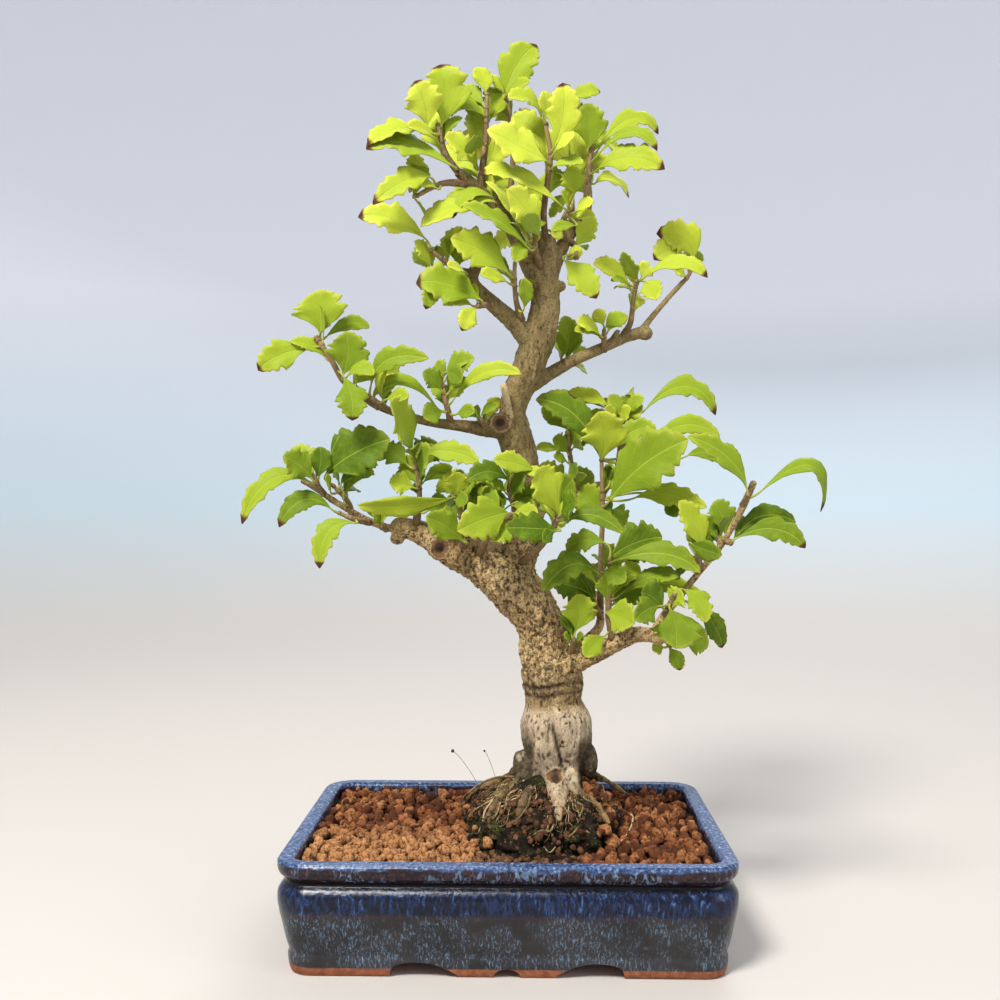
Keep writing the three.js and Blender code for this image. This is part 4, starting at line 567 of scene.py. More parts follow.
# Fine roots seen on the root ball: rows of s, t, and a radius
FINE_ROOTS = [
    [(266, 399, 0.9), (264.5, 404, 0.7), (261, 409, 0.6), (255, 414, 0.4)],
    [(257, 389.5, 0.9), (247, 390, 0.8), (240, 393, 0.8), (235, 397, 0.8), (231.5, 402, 0.9),
        (232, 407, 0.6)],
    [(251, 398, 0.9), (245, 402, 0.8), (238, 406, 0.6), (234, 410, 0.4)],
    [(247, 401, 0.8), (243, 407, 0.7), (242, 412, 0.5), (240, 417, 0.4)],
    [(251, 402, 0.7), (249, 408, 0.6), (244, 414, 0.4)],
    [(278, 413, 0.7), (276, 416.5, 0.7), (272, 416, 0.6), (268, 418, 0.5)],
    [(294, 416.5, 0.8), (297, 418, 0.7), (301, 417, 0.6)],
    [(310, 409, 0.6), (312, 407, 0.8), (315, 408, 0.8), (316, 411, 0.7), (314, 417, 0.6), (311, 421, 0.4)],
    [(289, 402, 0.9), (292, 404, 0.8), (290.5, 409, 0.5)],
    [(291, 386, 0.9), (295, 389, 0.7), (298, 392, 0.5)],
    [(301, 393, 0.6), (302, 397, 0.5), (301, 400, 0.4)],
    [(284, 420, 0.5), (288, 417, 0.7), (290, 414, 0.5)],
    [(273, 424, 0.4), (276, 427, 0.5), (279, 424, 0.4)],
]
# Fine sprouts with a dark head, standing left of the trunk: foot s, t, then the head
SPROUTS = [((238, 390), (226.2, 375.6), 0.9), ((247.5, 388), (242, 375.5), 0.6)]

# Leaves: blades from this width on are lobed, and divided more finely across
LOBED_WIDTH = 11
SMALLEST_LEAF = 10
BLADE_THICKNESS = 0.34
BLADE_FOLD = 0.22
LOBE_DROOP = 0.1
NATURAL_BOW = 0.08
BASE_LEAN = 0.3
BOW_LEAN = 0.65
LEAF_DEPTH_SHARE = 0.7
SWING_STEP = 4
SWING_TRIES = 6
STALK_TURN_COST = 6
STALK_PLACES = 20
STALK_FIRST = 3
UPRIGHT = 0.9

# Edge of a lobed blade: share of its length, share of its half width
BLADE_SPREAD, TURN_SHARE, BOW_INSET = 1.14, 0.65, 0.7
FURTHEST_BEND = 0.78
LOBED_EDGE = [
    (0, 0.03), (0.05, 0.09), (0.12, 0.22), (0.2, 0.42), (0.27, 0.62), (0.33, 0.8), (0.365, 0.88),
    (0.39, 0.87), (0.42, 0.95), (0.455, 1), (0.49, 0.97), (0.515, 0.85), (0.535, 0.72), (0.56, 0.69),
    (0.59, 0.76), (0.625, 0.86), (0.66, 0.88), (0.69, 0.82), (0.71, 0.7), (0.735, 0.62), (0.765, 0.63),
    (0.8, 0.64), (0.83, 0.58), (0.85, 0.47), (0.87, 0.41), (0.9, 0.4), (0.93, 0.35), (0.955, 0.24),
    (0.98, 0.13), (1, 0.02),
]
# Edge of a plain toothed blade
PLAIN_EDGE = [
    (0, 0.04), (0.06, 0.14), (0.14, 0.32), (0.22, 0.52), (0.3, 0.73), (0.37, 0.88), (0.4, 0.9),
    (0.43, 0.88), (0.47, 0.97), (0.52, 1), (0.56, 0.95), (0.58, 0.87), (0.61, 0.87), (0.65, 0.92),
    (0.69, 0.88), (0.71, 0.78), (0.74, 0.72), (0.78, 0.73), (0.82, 0.66), (0.84, 0.55), (0.87, 0.5),
    (0.9, 0.47), (0.93, 0.38), (0.96, 0.24), (1, 0.02),
]
# Leaves whose tips have dried brown: tip s, t
BROWN_TIPS = [
    (119.7, 261.5), (128.7, 184.2), (176.6, 209.5), (354, 137.5), (340, 335), (268, 21), (403.5, 273.5),
    (412.5, 256), (184, 70), (183.5, 71), (159.5, 284), (139, 263), (314.6, 98.6), (358.5, 207),
    (220.5, 31), (208, 40), (281.3, 42.3), (300, 45.2), (330, 66), (329, 74), (332, 83), (180, 106),
    (187, 100), (241.5, 84.5), (210, 140), (215, 153), (298.5, 148.5), (326.7, 129.5), (306, 140),
    (327.8, 116.8), (227, 106.7), (234, 164.5), (362.3, 324),
]
BROWN_REACH = 3
# Just over a whole turn in radians, for drawn angles
FULL_TURN = 6.3
# What differs from blade to blade: ripple of the margin, curl of the tip, unevenness of the teeth
RIPPLE = (0.02, 0.055)
CURL = (-0.02, 0.05)
BROWN_CURL = 0.1
UNEVEN = 0.07
# How far the teeth sweep towards the tip, on a lobed and on a plain blade
LOBED_SWEEP, PLAIN_SWEEP = 0.07, 0.04
# Waves along the margin, their gain, puffs between the veins, where the tip starts to curl
WAVES, WAVE_GAIN = 2.3, 2.2
PUFFS, PUFF = 9, 0.035
CURL_START, CURL_GAIN = 0.7, 8
# Added to a blade's tint to tell its under side and a brown tip
UNDER_MARK, BROWN_MARK = -2.0, 4.0
# Blades from this width on have a raised midrib
MIDRIB_WIDTH = 12


def place(s, t, away):
    reach = 1 - away / EYE.y
    x = EYE.x + (s - SHEET_CENTRE) * reach
    z = EYE.z + (SHEET_CENTRE - t) * reach
    return Vector((x, away, z))


def seen_at(x, y, z):
    """Where a point, or each point of three arrays, shows on the sheet, as s and t."""
    reach = 1 - y / EYE.y
    return SHEET_CENTRE + (x - EYE.x) / reach, SHEET_CENTRE - (z - EYE.z) / reach


def soil_level(x, y):
    rise, centre, spread = SOIL_RISE["height"], SOIL_RISE["centre"], SOIL_RISE["spread"]
    apart = ((x - centre[0]) / spread[0]) ** 2 + ((y - centre[1]) / spread[1]) ** 2
    return SOIL_LEVEL + rise * math.exp(-2 * apart)


def ground_height(x, y):
    centre, radius = MOUND["centre"], MOUND["radius"]
    apart = ((x - centre[0]) / radius[0]) ** 2 + ((y - centre[1]) / radius[1]) ** 2
    mound = centre[2] + radius[2] * math.sqrt(max(0, 1 - apart)) if apart < 1 else 0
    return max(soil_level(x, y), mound)


# Search for the ground behind a place on the sheet: nearest distance, step, how many steps
SEARCH_START, SEARCH_STEP, SEARCH_COUNT = -69, 0.5, 179


def ground_away(s, t):
    """How far behind the sheet the ground shows at s, t, or comes nearest to showing."""
    nearest, least = 0, math.inf
    for i in range(SEARCH_COUNT):
        away = SEARCH_START + SEARCH_STEP * i
        point = place(s, t, away)
        over = point.z - ground_height(point.x, point.y)
        if over < least:
            least, nearest = over, away
        if least <= 0:
            break
    return nearest


def hidden_row(x, y, radius):
    """A limb's row for a place on the ground that the front view doesn't show."""
    s, t = seen_at(x, y, ground_height(x, y))
    return (s, t, y, radius)


# Smooth curves through points
def curve_controls(points, i):
    count = len(points)
    before = points[i - 1] if i > 0 else 2 * points[0] - points[1]
    after = points[i + 2] if i + 2 < count else 2 * points[-1] - points[-2]
    return before, points[i], points[i + 1], after


def curve_point(points, share):
    spans = len(points) - 1
    i = min(int(share * spans), spans - 1)
    weight = share * spans - i
    p0, p1, p2, p3 = curve_controls(points, i)
    d0 = max((p1 - p0).length, 1e-6) ** 0.5
    d1 = max((p2 - p1).length, 1e-6) ** 0.5
    d2 = max((p3 - p2).length, 1e-6) ** 0.5
    m1 = ((p1 - p0) / d0 - (p2 - p0) / (d0 + d1) + (p2 - p1) / d1) * d1
    m2 = ((p2 - p1) / d1 - (p3 - p1) / (d1 + d2) + (p3 - p2) / d2) * d1
    c2 = -3 * p1 + 3 * p2 - 2 * m1 - m2
    c3 = 2 * p1 - 2 * p2 + m1 + m2
    return p1 + m1 * weight + c2 * weight ** 2 + c3 * weight ** 3


def row_radius(path, share):
    spans = len(path) - 1
    i = min(int(share * spans), spans - 1)
    weight = share * spans - i
    return path[i][3] * (1 - weight) + path[i + 1][3] * weight


def path_points(path):
    return [place(s, t, away) for s, t, away, _ in path]


BOX_MARGIN = 0.00005


def inside_box(point):
    """The point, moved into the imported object's own box if it lies outside."""
    held = []
    for value, low, high in zip(point + SHIFT, cad_low, cad_high):
        held.append(min(max(value * MM, low + BOX_MARGIN), high - BOX_MARGIN) / MM)
    return Vector(held) - SHIFT


class Builder:
    """Points, faces, materials and a three-number mark for each point of one piece."""

    def __init__(self):
        self.points = []
        self.faces = []
        self.slots = []
        self.marks = []
        self.edges = []

    def add(self, points, faces, slot=0, marks=(0, 0, 0), edges=None):
        """Add a body. One mark, in a tuple, is given to all of its points."""
        if isinstance(marks, tuple):
            marks = [marks] * len(points)
        first = len(self.points)
        self.points.extend(points)
        self.faces.extend([tuple(first + k for k in face) for face in faces])
        self.slots.extend([slot] * len(faces))
        self.marks.extend(marks)
        self.edges.extend(edges or [1.0] * len(points))

    def build(self, name, materials):
        mesh = bpy.data.meshes.new(name)
        points = [((Vector(p) + SHIFT) * MM)[:] for p in self.points]
        mesh.from_pydata(points, [], self.faces)
        for material in materials:
            mesh.materials.append(material)
        mesh.polygons.foreach_set("material_index", self.slots)
        mesh.polygons.foreach_set("use_smooth", [True] * len(self.faces))
        attribute = mesh.attributes.new("mark", "FLOAT_VECTOR", "POINT")
        attribute.data.foreach_set("vector", np.array(self.marks, np.float32).ravel())
        attribute = mesh.attributes.new("edge", "FLOAT", "POINT")
        attribute.data.foreach_set("value", np.array(self.edges, np.float32))
        mesh.update()
        piece = bpy.data.objects.new(name, mesh)
        bpy.context.scene.collection.objects.link(piece)
        return piece


def loft_faces(rows, count):
    """Faces of a stack of closed rings, with a cap at each end."""
    faces = []
    for i in range(rows - 1):
        for k in range(count):
            a, b = i * count + k, i * count + (k + 1) % count
            faces.append((a, b, b + count, a + count))
    faces.append(tuple(reversed(range(count))))
    faces.append(tuple((rows - 1) * count + k for k in range(count)))
    return faces


def bend(start, control, end, u):
    """A place on the smooth bend from start to end."""
    return start * (1 - u) ** 2 + control * 2 * u * (1 - u) + end * u * u


def tube(centres, radii, sides):
    """Rings along a line of points, closed at both ends."""
    across = Vector((0, -1, 0.3))
    points = []
    last = len(centres) - 1
    for i, centre in enumerate(centres):
        along = (centres[min(i + 1, last)] - centres[max(i - 1, 0)]).normalized()
        across = (across - along * across.dot(along)).normalized()
        side = along.cross(across)
        for k in range(sides):
            angle = 2 * math.pi * k / sides
            points.append(centre + (across * math.cos(angle) + side * math.sin(angle)) * radii[i])
    return points, loft_faces(last + 1, sides)


# Leaves
def leaf_frame(depth, row, swing):
    base_s, base_t, tip_s, tip_t, lean, width, turn = row[:7]
    base = place(base_s, base_t, depth + BASE_LEAN * (lean + swing))
    tip = place(tip_s, tip_t, depth + lean + swing)
    chord = tip - base
    length = chord.length
    chord.normalize()
    angle = math.radians(turn * TURN_SHARE if turn <= 90 else 180 - (180 - turn) * TURN_SHARE)
    width *= BLADE_SPREAD
    if len(row) == 7:
        up = Vector((1, 0, 0)) if abs(chord.z) > UPRIGHT else Vector((0, 0, 1))
        up = (up - chord * up.dot(chord)).normalized()
        middle = (base + tip) / 2 + up * NATURAL_BOW * length
    else:
        middle = place(row[7], row[8], depth + BOW_LEAN * (lean + swing))
        up = middle - base
        up = (up - chord * up.dot(chord)).normalized()
        bow = (middle - base).dot(up)
        middle -= up * BOW_INSET * min(bow, width / 2) * abs(math.cos(angle))
    control = 2 * middle - (base + tip) / 2
    over = (control - base).dot(chord) - FURTHEST_BEND * length
    control -= chord * max(over, 0)
    plane = chord.cross(up).normalized()
    facing = -plane if plane.y > 0 else plane
    return {"base": base, "control": control, "tip": tip, "plane": plane, "facing": facing,
            "angle": angle, "width": width, "length": length}


def spine(leaf, u):
    point = bend(leaf["base"], leaf["control"], leaf["tip"], u)
    tangent = (leaf["control"] - leaf["base"]) * (1 - u) + (leaf["tip"] - leaf["control"]) * u
    return point, tangent.normalized()


def blade_axes(leaf, u):
    point, tangent = spine(leaf, u)
    crown = leaf["plane"].cross(tangent)
    normal = (leaf["facing"] * math.cos(leaf["angle"]) + crown * math.sin(leaf["angle"])).normalized()
    sideways = tangent.cross(normal).normalized()
    return point, sideways, normal


def chosen_frame(depth, row, solid):
    """The leaf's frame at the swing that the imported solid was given."""
    if row[5] < SMALLEST_LEAF:
        return leaf_frame(depth, row, 0)
    best, least = None, math.inf
    for attempt in range(2 * SWING_TRIES + 1):
        swing = SWING_STEP * math.ceil(attempt / 2) * (1 if attempt % 2 == 0 else -1)
        leaf = leaf_frame(depth, row, swing)
        apart = sum(solid.find_nearest(spine(leaf, u)[0])[3] for u in (0.35, 0.7, 1))
        if apart < least:
            best, least = leaf, apart
    return best


def stalk_root(points, leaf):
    base, tangent = spine(leaf, 0)
    best, least = None, math.inf
    for i in range(STALK_FIRST, STALK_PLACES + 1):
        share = i / STALK_PLACES
        stalk = base - curve_point(points, share)
        cost = stalk.length + STALK_TURN_COST * (1 - stalk.dot(tangent) / max(stalk.length, 1))
        if cost < least:
            best, least = share, cost
    return best


def blade_habit(draw, rows, brown):
    """What differs from blade to blade: tint, ripple and where it starts, curl, uneven teeth."""
    tint, ripple, phase = draw.random(), draw.uniform(*RIPPLE), draw.uniform(0, FULL_TURN)
    curl = draw.uniform(*CURL) + (BROWN_CURL if brown else 0)
    uneven = [1 + draw.uniform(-UNEVEN, UNEVEN) for _ in range(2 * rows)]
    return tint, ripple, phase, curl, uneven


def blade_faces(rows, columns):
    """Faces of the upper side, the under side and the rim between them."""
    faces = []
    count = rows * columns
    for i in range(rows - 1):
        for k in range(columns - 1):
            a = i * columns + k
            faces.append((a, a + 1, a + columns + 1, a + columns))
            faces.append((count + a, count + a + columns, count + a + columns + 1, count + a + 1))
    rim = list(range(columns))
    rim += [i * columns + columns - 1 for i in range(1, rows)]
    rim += [(rows - 1) * columns + k for k in range(columns - 2, -1, -1)]
    rim += [i * columns for i in range(rows - 2, 0, -1)]
    for i, a in enumerate(rim):
        b = rim[(i + 1) % len(rim)]
        faces.append((a, count + a, count + b, b))
    return faces


def add_blade(builder, leaf, draw, brown):
    """A thin closed blade with a toothed edge, folded at the midrib, with a rippled margin."""
    large = leaf["width"] >= LOBED_WIDTH * BLADE_SPREAD
    edge = LOBED_EDGE if large else PLAIN_EDGE
    half = 4 if large else 3
    across = [k / half for k in range(-half, half + 1)]
    tint, ripple, phase, curl, uneven = blade_habit(draw, len(edge), brown)
    sweep = LOBED_SWEEP if large else PLAIN_SWEEP
    half_width = leaf["width"] / 2
    top, under, marks, edges = [], [], [], []
    for i, (along, share) in enumerate(edge):
        for v in across:
            forward = along + sweep * abs(v) ** 2 * math.sin(math.pi * along)
            point, sideways, normal = blade_axes(leaf, forward)
            reach = share * v * uneven[2 * i + (v > 0)]
            swell = math.sin(phase + 2 * math.pi * along * WAVES + (2 if v > 0 else 0))
            wave = ripple * swell * v * v * share
            rise = (BLADE_FOLD * abs(reach) - LOBE_DROOP * reach * reach + wave * WAVE_GAIN) * half_width
            puff = PUFF * math.sin(PUFFS * (along - 0.7 * abs(reach))) * abs(v) * (1 - abs(v)) * 4 * share
            droop = curl * leaf["length"] * max(0, forward - CURL_START) ** 2 * CURL_GAIN
            spot = point + sideways * reach * half_width + normal * (rise + puff * half_width - droop)
            thick = normal * BLADE_THICKNESS / 2
            top.append(spot + thick)
            under.append(spot - thick)
            edges.append((1 - abs(v)) * min(1, 4 * (1 - along)))
            marks.append((forward, reach * 0.5 * leaf["width"] / leaf["length"], tint))
    lift = BROWN_MARK if brown else 0
    both = [(u, w, m + side + lift) for side in (0, UNDER_MARK) for u, w, m in marks]
    builder.add(top + under, blade_faces(len(edge), len(across)), 0, both, edges + edges)


def add_stalk(builder, start, leaf, draw):
    base, tangent = spine(leaf, 0)
    inside = base + tangent * 0.06 * leaf["length"]
    reach = (base - start).length
    control = base - tangent * 0.45 * reach
    centres, radii = [], []
    steps = 7
    for i in range(steps + 1):
        u = i / steps
        centres.append(bend(start, control, base, u))
        radii.append(0.72 - 0.24 * u if i else 0.95)
    centres.append(inside)
    radii.append(0.22)
    points, faces = tube(centres, radii, 6)
    builder.add(points, faces, 1, (0.5, 0.9, draw.random()))


def add_midrib(builder, leaf):
    """The raised midrib on the under side of a blade."""
    if leaf["width"] < MIDRIB_WIDTH:
        return
    centres, radii = [], []
    for i in range(7):
        u = 0.02 + 0.13 * i
        point, _, normal = blade_axes(leaf, u)
        centres.append(point - normal * 0.22)
        radii.append(0.36 * (1 - u) + 0.08)
    points, faces = tube(centres, radii, 5)
    builder.add(points, faces, 1, (0.5, 1, 0.5))


def add_twig(builder, path, draw):
    points = path_points(path)
    length = sum((a - b).length for a, b in zip(points, points[1:]))
    steps = max(6, int(length / 1.6))
    centres, radii, marks = [], [], []
    phase = draw.uniform(0, 9)
    for i in range(steps + 1):
        share = i / steps
        wobble = 1 + 0.1 * noise.noise(Vector((phase, 0, share * length * 0.45)))
        centres.append(curve_point(points, share))
        radii.append(row_radius(path, share) * 0.92 * wobble)
        marks += [(share, 0.2 + 0.5 * share, phase / 9)] * 8
    radii[-1] *= 0.5
    points, faces = tube(centres, radii, 8)
    builder.add(points, faces, 1, marks)


def add_bud(builder, centre, along, size, draw):
    centres = [centre + along * reach * size for reach in (-1, -0.4, 0.5, 1.3)]
    radii = [0.5 * size, size, 0.85 * size, 0.2 * size]
    points, faces = tube(centres, radii, 6)
    builder.add(points, faces, 1, (0.5, 0.35, draw.random()))


SPARE_LEAVES = 5
SPARE_LENGTH = (12, 20)
SPARE_COVER = 9


def spare_leaf(points, draw):
    """A small leaf of the twig's inner growth, which fills the shoot out behind the seen leaves."""
    base = curve_point(points, draw.uniform(0.35, 0.98))
    aim = Vector((draw.gauss(0, 0.45), draw.uniform(-0.25, 0.9), draw.uniform(0.0, 0.9))).normalized()
    length = draw.uniform(*SPARE_LENGTH)
    base = base + aim * 3
    tip = base + aim * length
    up = (Vector((0, 0, 1)) - aim * aim.z).normalized()
    control = (base + tip) / 2 + up * 0.3 * length
    plane = aim.cross(up).normalized()
    return {"base": base, "control": control, "tip": tip, "plane": plane,
            "facing": -plane if plane.y > 0 else plane, "angle": math.radians(draw.uniform(15, 80)),
            "width": length * draw.uniform(0.42, 0.55), "length": length}


def is_covered(leaf, rows):
    """Whether the leaf's tip shows near the middle of a listed leaf."""
    spot = seen_at(*leaf["tip"])
    return any(math.dist(spot, ((row[0] + row[2]) / 2, (row[1] + row[3]) / 2)) < SPARE_COVER for row in rows)


def packed_solid(name):
    """A node's surface in the lists' millimetres, for finding the nearest point."""
    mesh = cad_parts[name].data
    points = [v.co / MM - SHIFT for v in mesh.vertices]
    return BVHTree.FromPolygons(points, [tuple(p.vertices) for p in mesh.polygons])


def make_shoot(name, entry, draw, materials):
    builder = Builder()
    path = entry["twig"]
    points = path_points(path)
    add_twig(builder, path, draw)
    solid = packed_solid(name)
    depth = curve_point(points, LEAF_DEPTH_SHARE).y
    for row in entry["leaves"]:
        leaf = chosen_frame(depth, row, solid)
        share = stalk_root(points, leaf)
        root = curve_point(points, share)
        add_stalk(builder, root, leaf, draw)
        brown = any(math.dist(row[2:4], tip) < BROWN_REACH for tip in BROWN_TIPS)
        add_blade(builder, leaf, draw, brown)
        add_midrib(builder, leaf)
        base = spine(leaf, 0)[0]
        add_bud(builder, root, (base - root).normalized(), min(1.5, row_radius(path, share) * 1.1), draw)
    for _ in range(SPARE_LEAVES):
        leaf = spare_leaf(points, draw)
        if is_covered(leaf, entry["leaves"]):
            add_stalk(builder, curve_point(points, stalk_root(points, leaf)), leaf, draw)
            add_blade(builder, leaf, draw, False)
    builder.points = [inside_box(point) for point in builder.points]
    piece = builder.build("leaves_" + name, materials)
    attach(piece, "root")
    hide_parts(name)


# Wood: tubes and knobs are fused, rounded off where they meet, then given bark
WOOD_VOXEL = 0.78
TRUNK_SIDES = 28
BRANCH_SIDES = 16


def limb_tube(path, sides, flute=0.0):
    points = path_points(path)
    length = sum((a - b).length for a, b in zip(points, points[1:]))
    steps = max(8, int(length / 3))
    centres = [curve_point(points, i / steps) for i in range(steps + 1)]
    radii = [row_radius(path, i / steps) for i in range(steps + 1)]
    rings, faces = tube(centres, radii, sides)
    if flute:
        for n, point in enumerate(rings):
            centre = centres[n // sides]
            angle = 2 * math.pi * (n % sides) / sides
            broad, narrow = math.sin(3 * angle + 0.05 * centre.z), math.sin(5 * angle - 0.08 * centre.z)
            lump = 1 + flute * broad + 0.6 * flute * narrow
            rings[n] = centre + (point - centre) * lump
    return rings, faces


def unit_ball(subdivisions):
    """Points and faces of a ball of radius 1."""
    bm = bmesh.new()
    bmesh.ops.create_icosphere(bm, subdivisions=subdivisions, radius=1)
    spots = [v.co.copy() for v in bm.verts]
    faces = [tuple(v.index for v in f.verts) for f in bm.faces]
    bm.free()
    return spots, faces


def knob_ball(at, radius):
    spots, faces = unit_ball(3)
    centre = place(*at)
    return [centre + Vector((v.x * radius[0], v.y * radius[1], v.z * radius[2])) for v in spots], faces


def evaluated(piece, *kinds):
    """The piece's mesh with the modifiers made by kinds applied."""
    for kind, settings in kinds:
        modifier = piece.modifiers.new(kind, kind)
        for key, value in settings.items():
            setattr(modifier, key, value)
    graph = bpy.context.evaluated_depsgraph_get()
    mesh = bpy.data.meshes.new_from_object(piece.evaluated_get(graph))
    piece.modifiers.clear()
    piece.data = mesh
    return mesh


def points_of(mesh):
    points = np.zeros(len(mesh.vertices) * 3)
    mesh.vertices.foreach_get("co", points)
    return points.reshape(-1, 3) / MM - np.array(SHIFT)


def normals_of(mesh):
    normals = np.zeros(len(mesh.vertices) * 3, np.float32)
    mesh.vertex_normals.foreach_get("vector", normals)
    return normals.reshape(-1, 3).astype(float)


def set_points(mesh, points):
    mesh.vertices.foreach_set("co", ((points + np.array(SHIFT)) * MM).ravel())
    mesh.update()


def set_mark(mesh, values):
    name = "mark"
    attribute = mesh.attributes.get(name) or mesh.attributes.new(name, "FLOAT_VECTOR", "POINT")
    attribute.data.foreach_set("vector", np.ascontiguousarray(values, np.float32).ravel())


def make_wood(materials):
    builder = Builder()
    root_paths = []
    for root in ROOTS:
        rows = [root["start"]]
        rows += [(s, t, ground_away(s, t), r) for s, t, r in root.get("seen", ())]
        rows += [hidden_row(x, y, r) for x, y, r in root.get("hidden", ())]
        root_paths.append(rows)
    solids = [limb_tube(TRUNK_LOWER, TRUNK_SIDES, 0.04), limb_tube(TRUNK_UPPER, TRUNK_SIDES, 0.03)]
    solids += [limb_tube(path, BRANCH_SIDES) for path in BRANCHES + root_paths]
    solids += [knob_ball(knob["at"], knob["radius"]) for knob in KNOBS]
    foot = [Vector(on_ground(s, t, 0)) + Vector((0, out + 0.35 * r, 0)) for s, t, r, out in FOOT_ROOT]
    solids.append(tube(foot, [r for _, _, r, _ in FOOT_ROOT], FOOT_ROOT_SIDES))
    for points, faces in solids:
        builder.add(points, faces)
    piece = builder.build("wood_bark", materials)
    voxel = WOOD_VOXEL * 1 * MM
    mesh = evaluated(
        piece,
        ("REMESH", {"mode": "VOXEL", "voxel_size": voxel}),
        ("SMOOTH", {"factor": 0.6, "iterations": 6}),
    )
    add_bark(mesh)
    mesh.polygons.foreach_set("use_smooth", [True] * len(mesh.polygons))
    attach(piece, "root")
    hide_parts("wood")


# Scars of cut limbs, seen from the front: place on the sheet, half width and half height
SCARS = [
    {"at": (278, 388), "half": (4.2, 3.6)},
    {"at": (220, 273.6), "half": (4.4, 4.8)},
    {"at": (250.2, 211.4), "half": (4.4, 3.8)},
    {"at": (281.5, 371), "half": (1, 1.3)},
]


# The pale cut stub that stands before the trunk: its tip on the sheet, sides, growth and tone
STUB_TIP = (252, 192)
STUB_SIDES = 14
STUB_GROWTH = 1.15
STUB_TONE = 0.8
# Marks that a wire left round the trunk: height, depth
WIRE_MARKS = [(119, 1), (128.5, 0.5), (114.5, 0.7)]
WIRE_WIDTH = 1.2
# Scars: how high the rim stands, how deep the wood lies, how rough the middle is
SCAR_RIM, SCAR_DEPTH, SCAR_GRAIN = 0.7, 1.8, 0.7
# The crease down the trunk's pale foot: x at a height, lean, half width, depth
CREASE_X, CREASE_HEIGHT, CREASE_LEAN = 23.7, 90, 0.21
CREASE_WIDTH, CREASE_DEPTH = 0.75, 2.1
# Heights on the trunk: where the foot's folds and its smooth bark end, where the rough bark starts
# and ends, and from where pits darken less
FOLDS_TOP, SMOOTH_TOP = 106, 113
ROUGH_LOW, ROUGH_HIGH = 112, 215
FEW_PITS = 195


def limb_radius_at(points):
    """The radius of the nearest limb, for each point: thin limbs get finer bark."""
    spots, radii = [], []
    for path in [TRUNK_LOWER, TRUNK_UPPER] + BRANCHES:
        line = path_points(path)
        steps = 6 * len(path)
        for i in range(steps + 1):
            spots.append(curve_point(line, i / steps))
            radii.append(row_radius(path, i / steps))
    tree = KDTree(len(spots))
    for i, spot in enumerate(spots):
        tree.insert(spot, i)
    tree.balance()
    return np.array([radii[tree.find(Vector(p))[1]] for p in points])


def make_stub(materials):
    """The cut stub, as a piece of its own so that it stays sharp before the trunk."""
    path = next(row for row in BRANCHES if tuple(row[-1][:2]) == STUB_TIP)
    thicker = [(s, t, away, STUB_GROWTH * radius) for s, t, away, radius in path]
    points, faces = limb_tube(thicker, STUB_SIDES)
    builder = Builder()
    builder.add(points, faces, 0, (0.5, 0.2, STUB_TONE))
    piece = builder.build("cut_stub", materials)
    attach(piece, "root")


def noise_at(points, scale, offset=0.0):
    return np.array([noise.noise(Vector(spot)) for spot in points * scale + (offset, 0, 0)])


def above(values, start, width):
    """0 up to the start, then up to 1 over the width."""
    return np.clip((values - start) / width, 0, 1)


def below(values, end, width):
    """Down to 0 at the end, over the width."""
    return np.clip((end - values) / width, 0, 1)


def scars_at(points, normals, grain):
    """Relief and mark of the cut limbs' scars, which are seen from the front."""
    seen_s, seen_t = seen_at(*points.T)
    ragged = 1 + 0.25 * noise_at(points, (0.45, 0.45, 0.45), 41)
    front = np.clip(0.9 - normals[:, 1] * 2.5, 0, 1)
    relief, scar = np.zeros(len(points)), np.zeros(len(points))
    for row in SCARS:
        (s, t), (half_width, half_height) = row["at"], row["half"]
        apart = np.hypot((seen_s - s) / half_width, (seen_t - t) / half_height) * ragged
        rim = np.exp(-((apart - 1.05) / 0.22) ** 2) * front
        inner = np.clip(1.1 - apart, 0, 0.6) * front
        relief += SCAR_RIM * rim - SCAR_DEPTH * inner + SCAR_GRAIN * grain * inner
        scar = np.maximum(scar, np.clip(1.35 - apart, 0, 1) * front)
    return relief, scar


def crease_at(points):
    """How far each point lies in the crease of the trunk's foot."""
    height = points[:, 2]
    middle = CREASE_X - CREASE_LEAN * (height - CREASE_HEIGHT) + 1.1 * noise_at(points, (0, 0, 0.2), 61)
    crease = np.exp(-((points[:, 0] - middle) / CREASE_WIDTH) ** 2) * (points[:, 1] < 0)
    return crease * (above(height, 70, 10) * below(height, 107, 14))


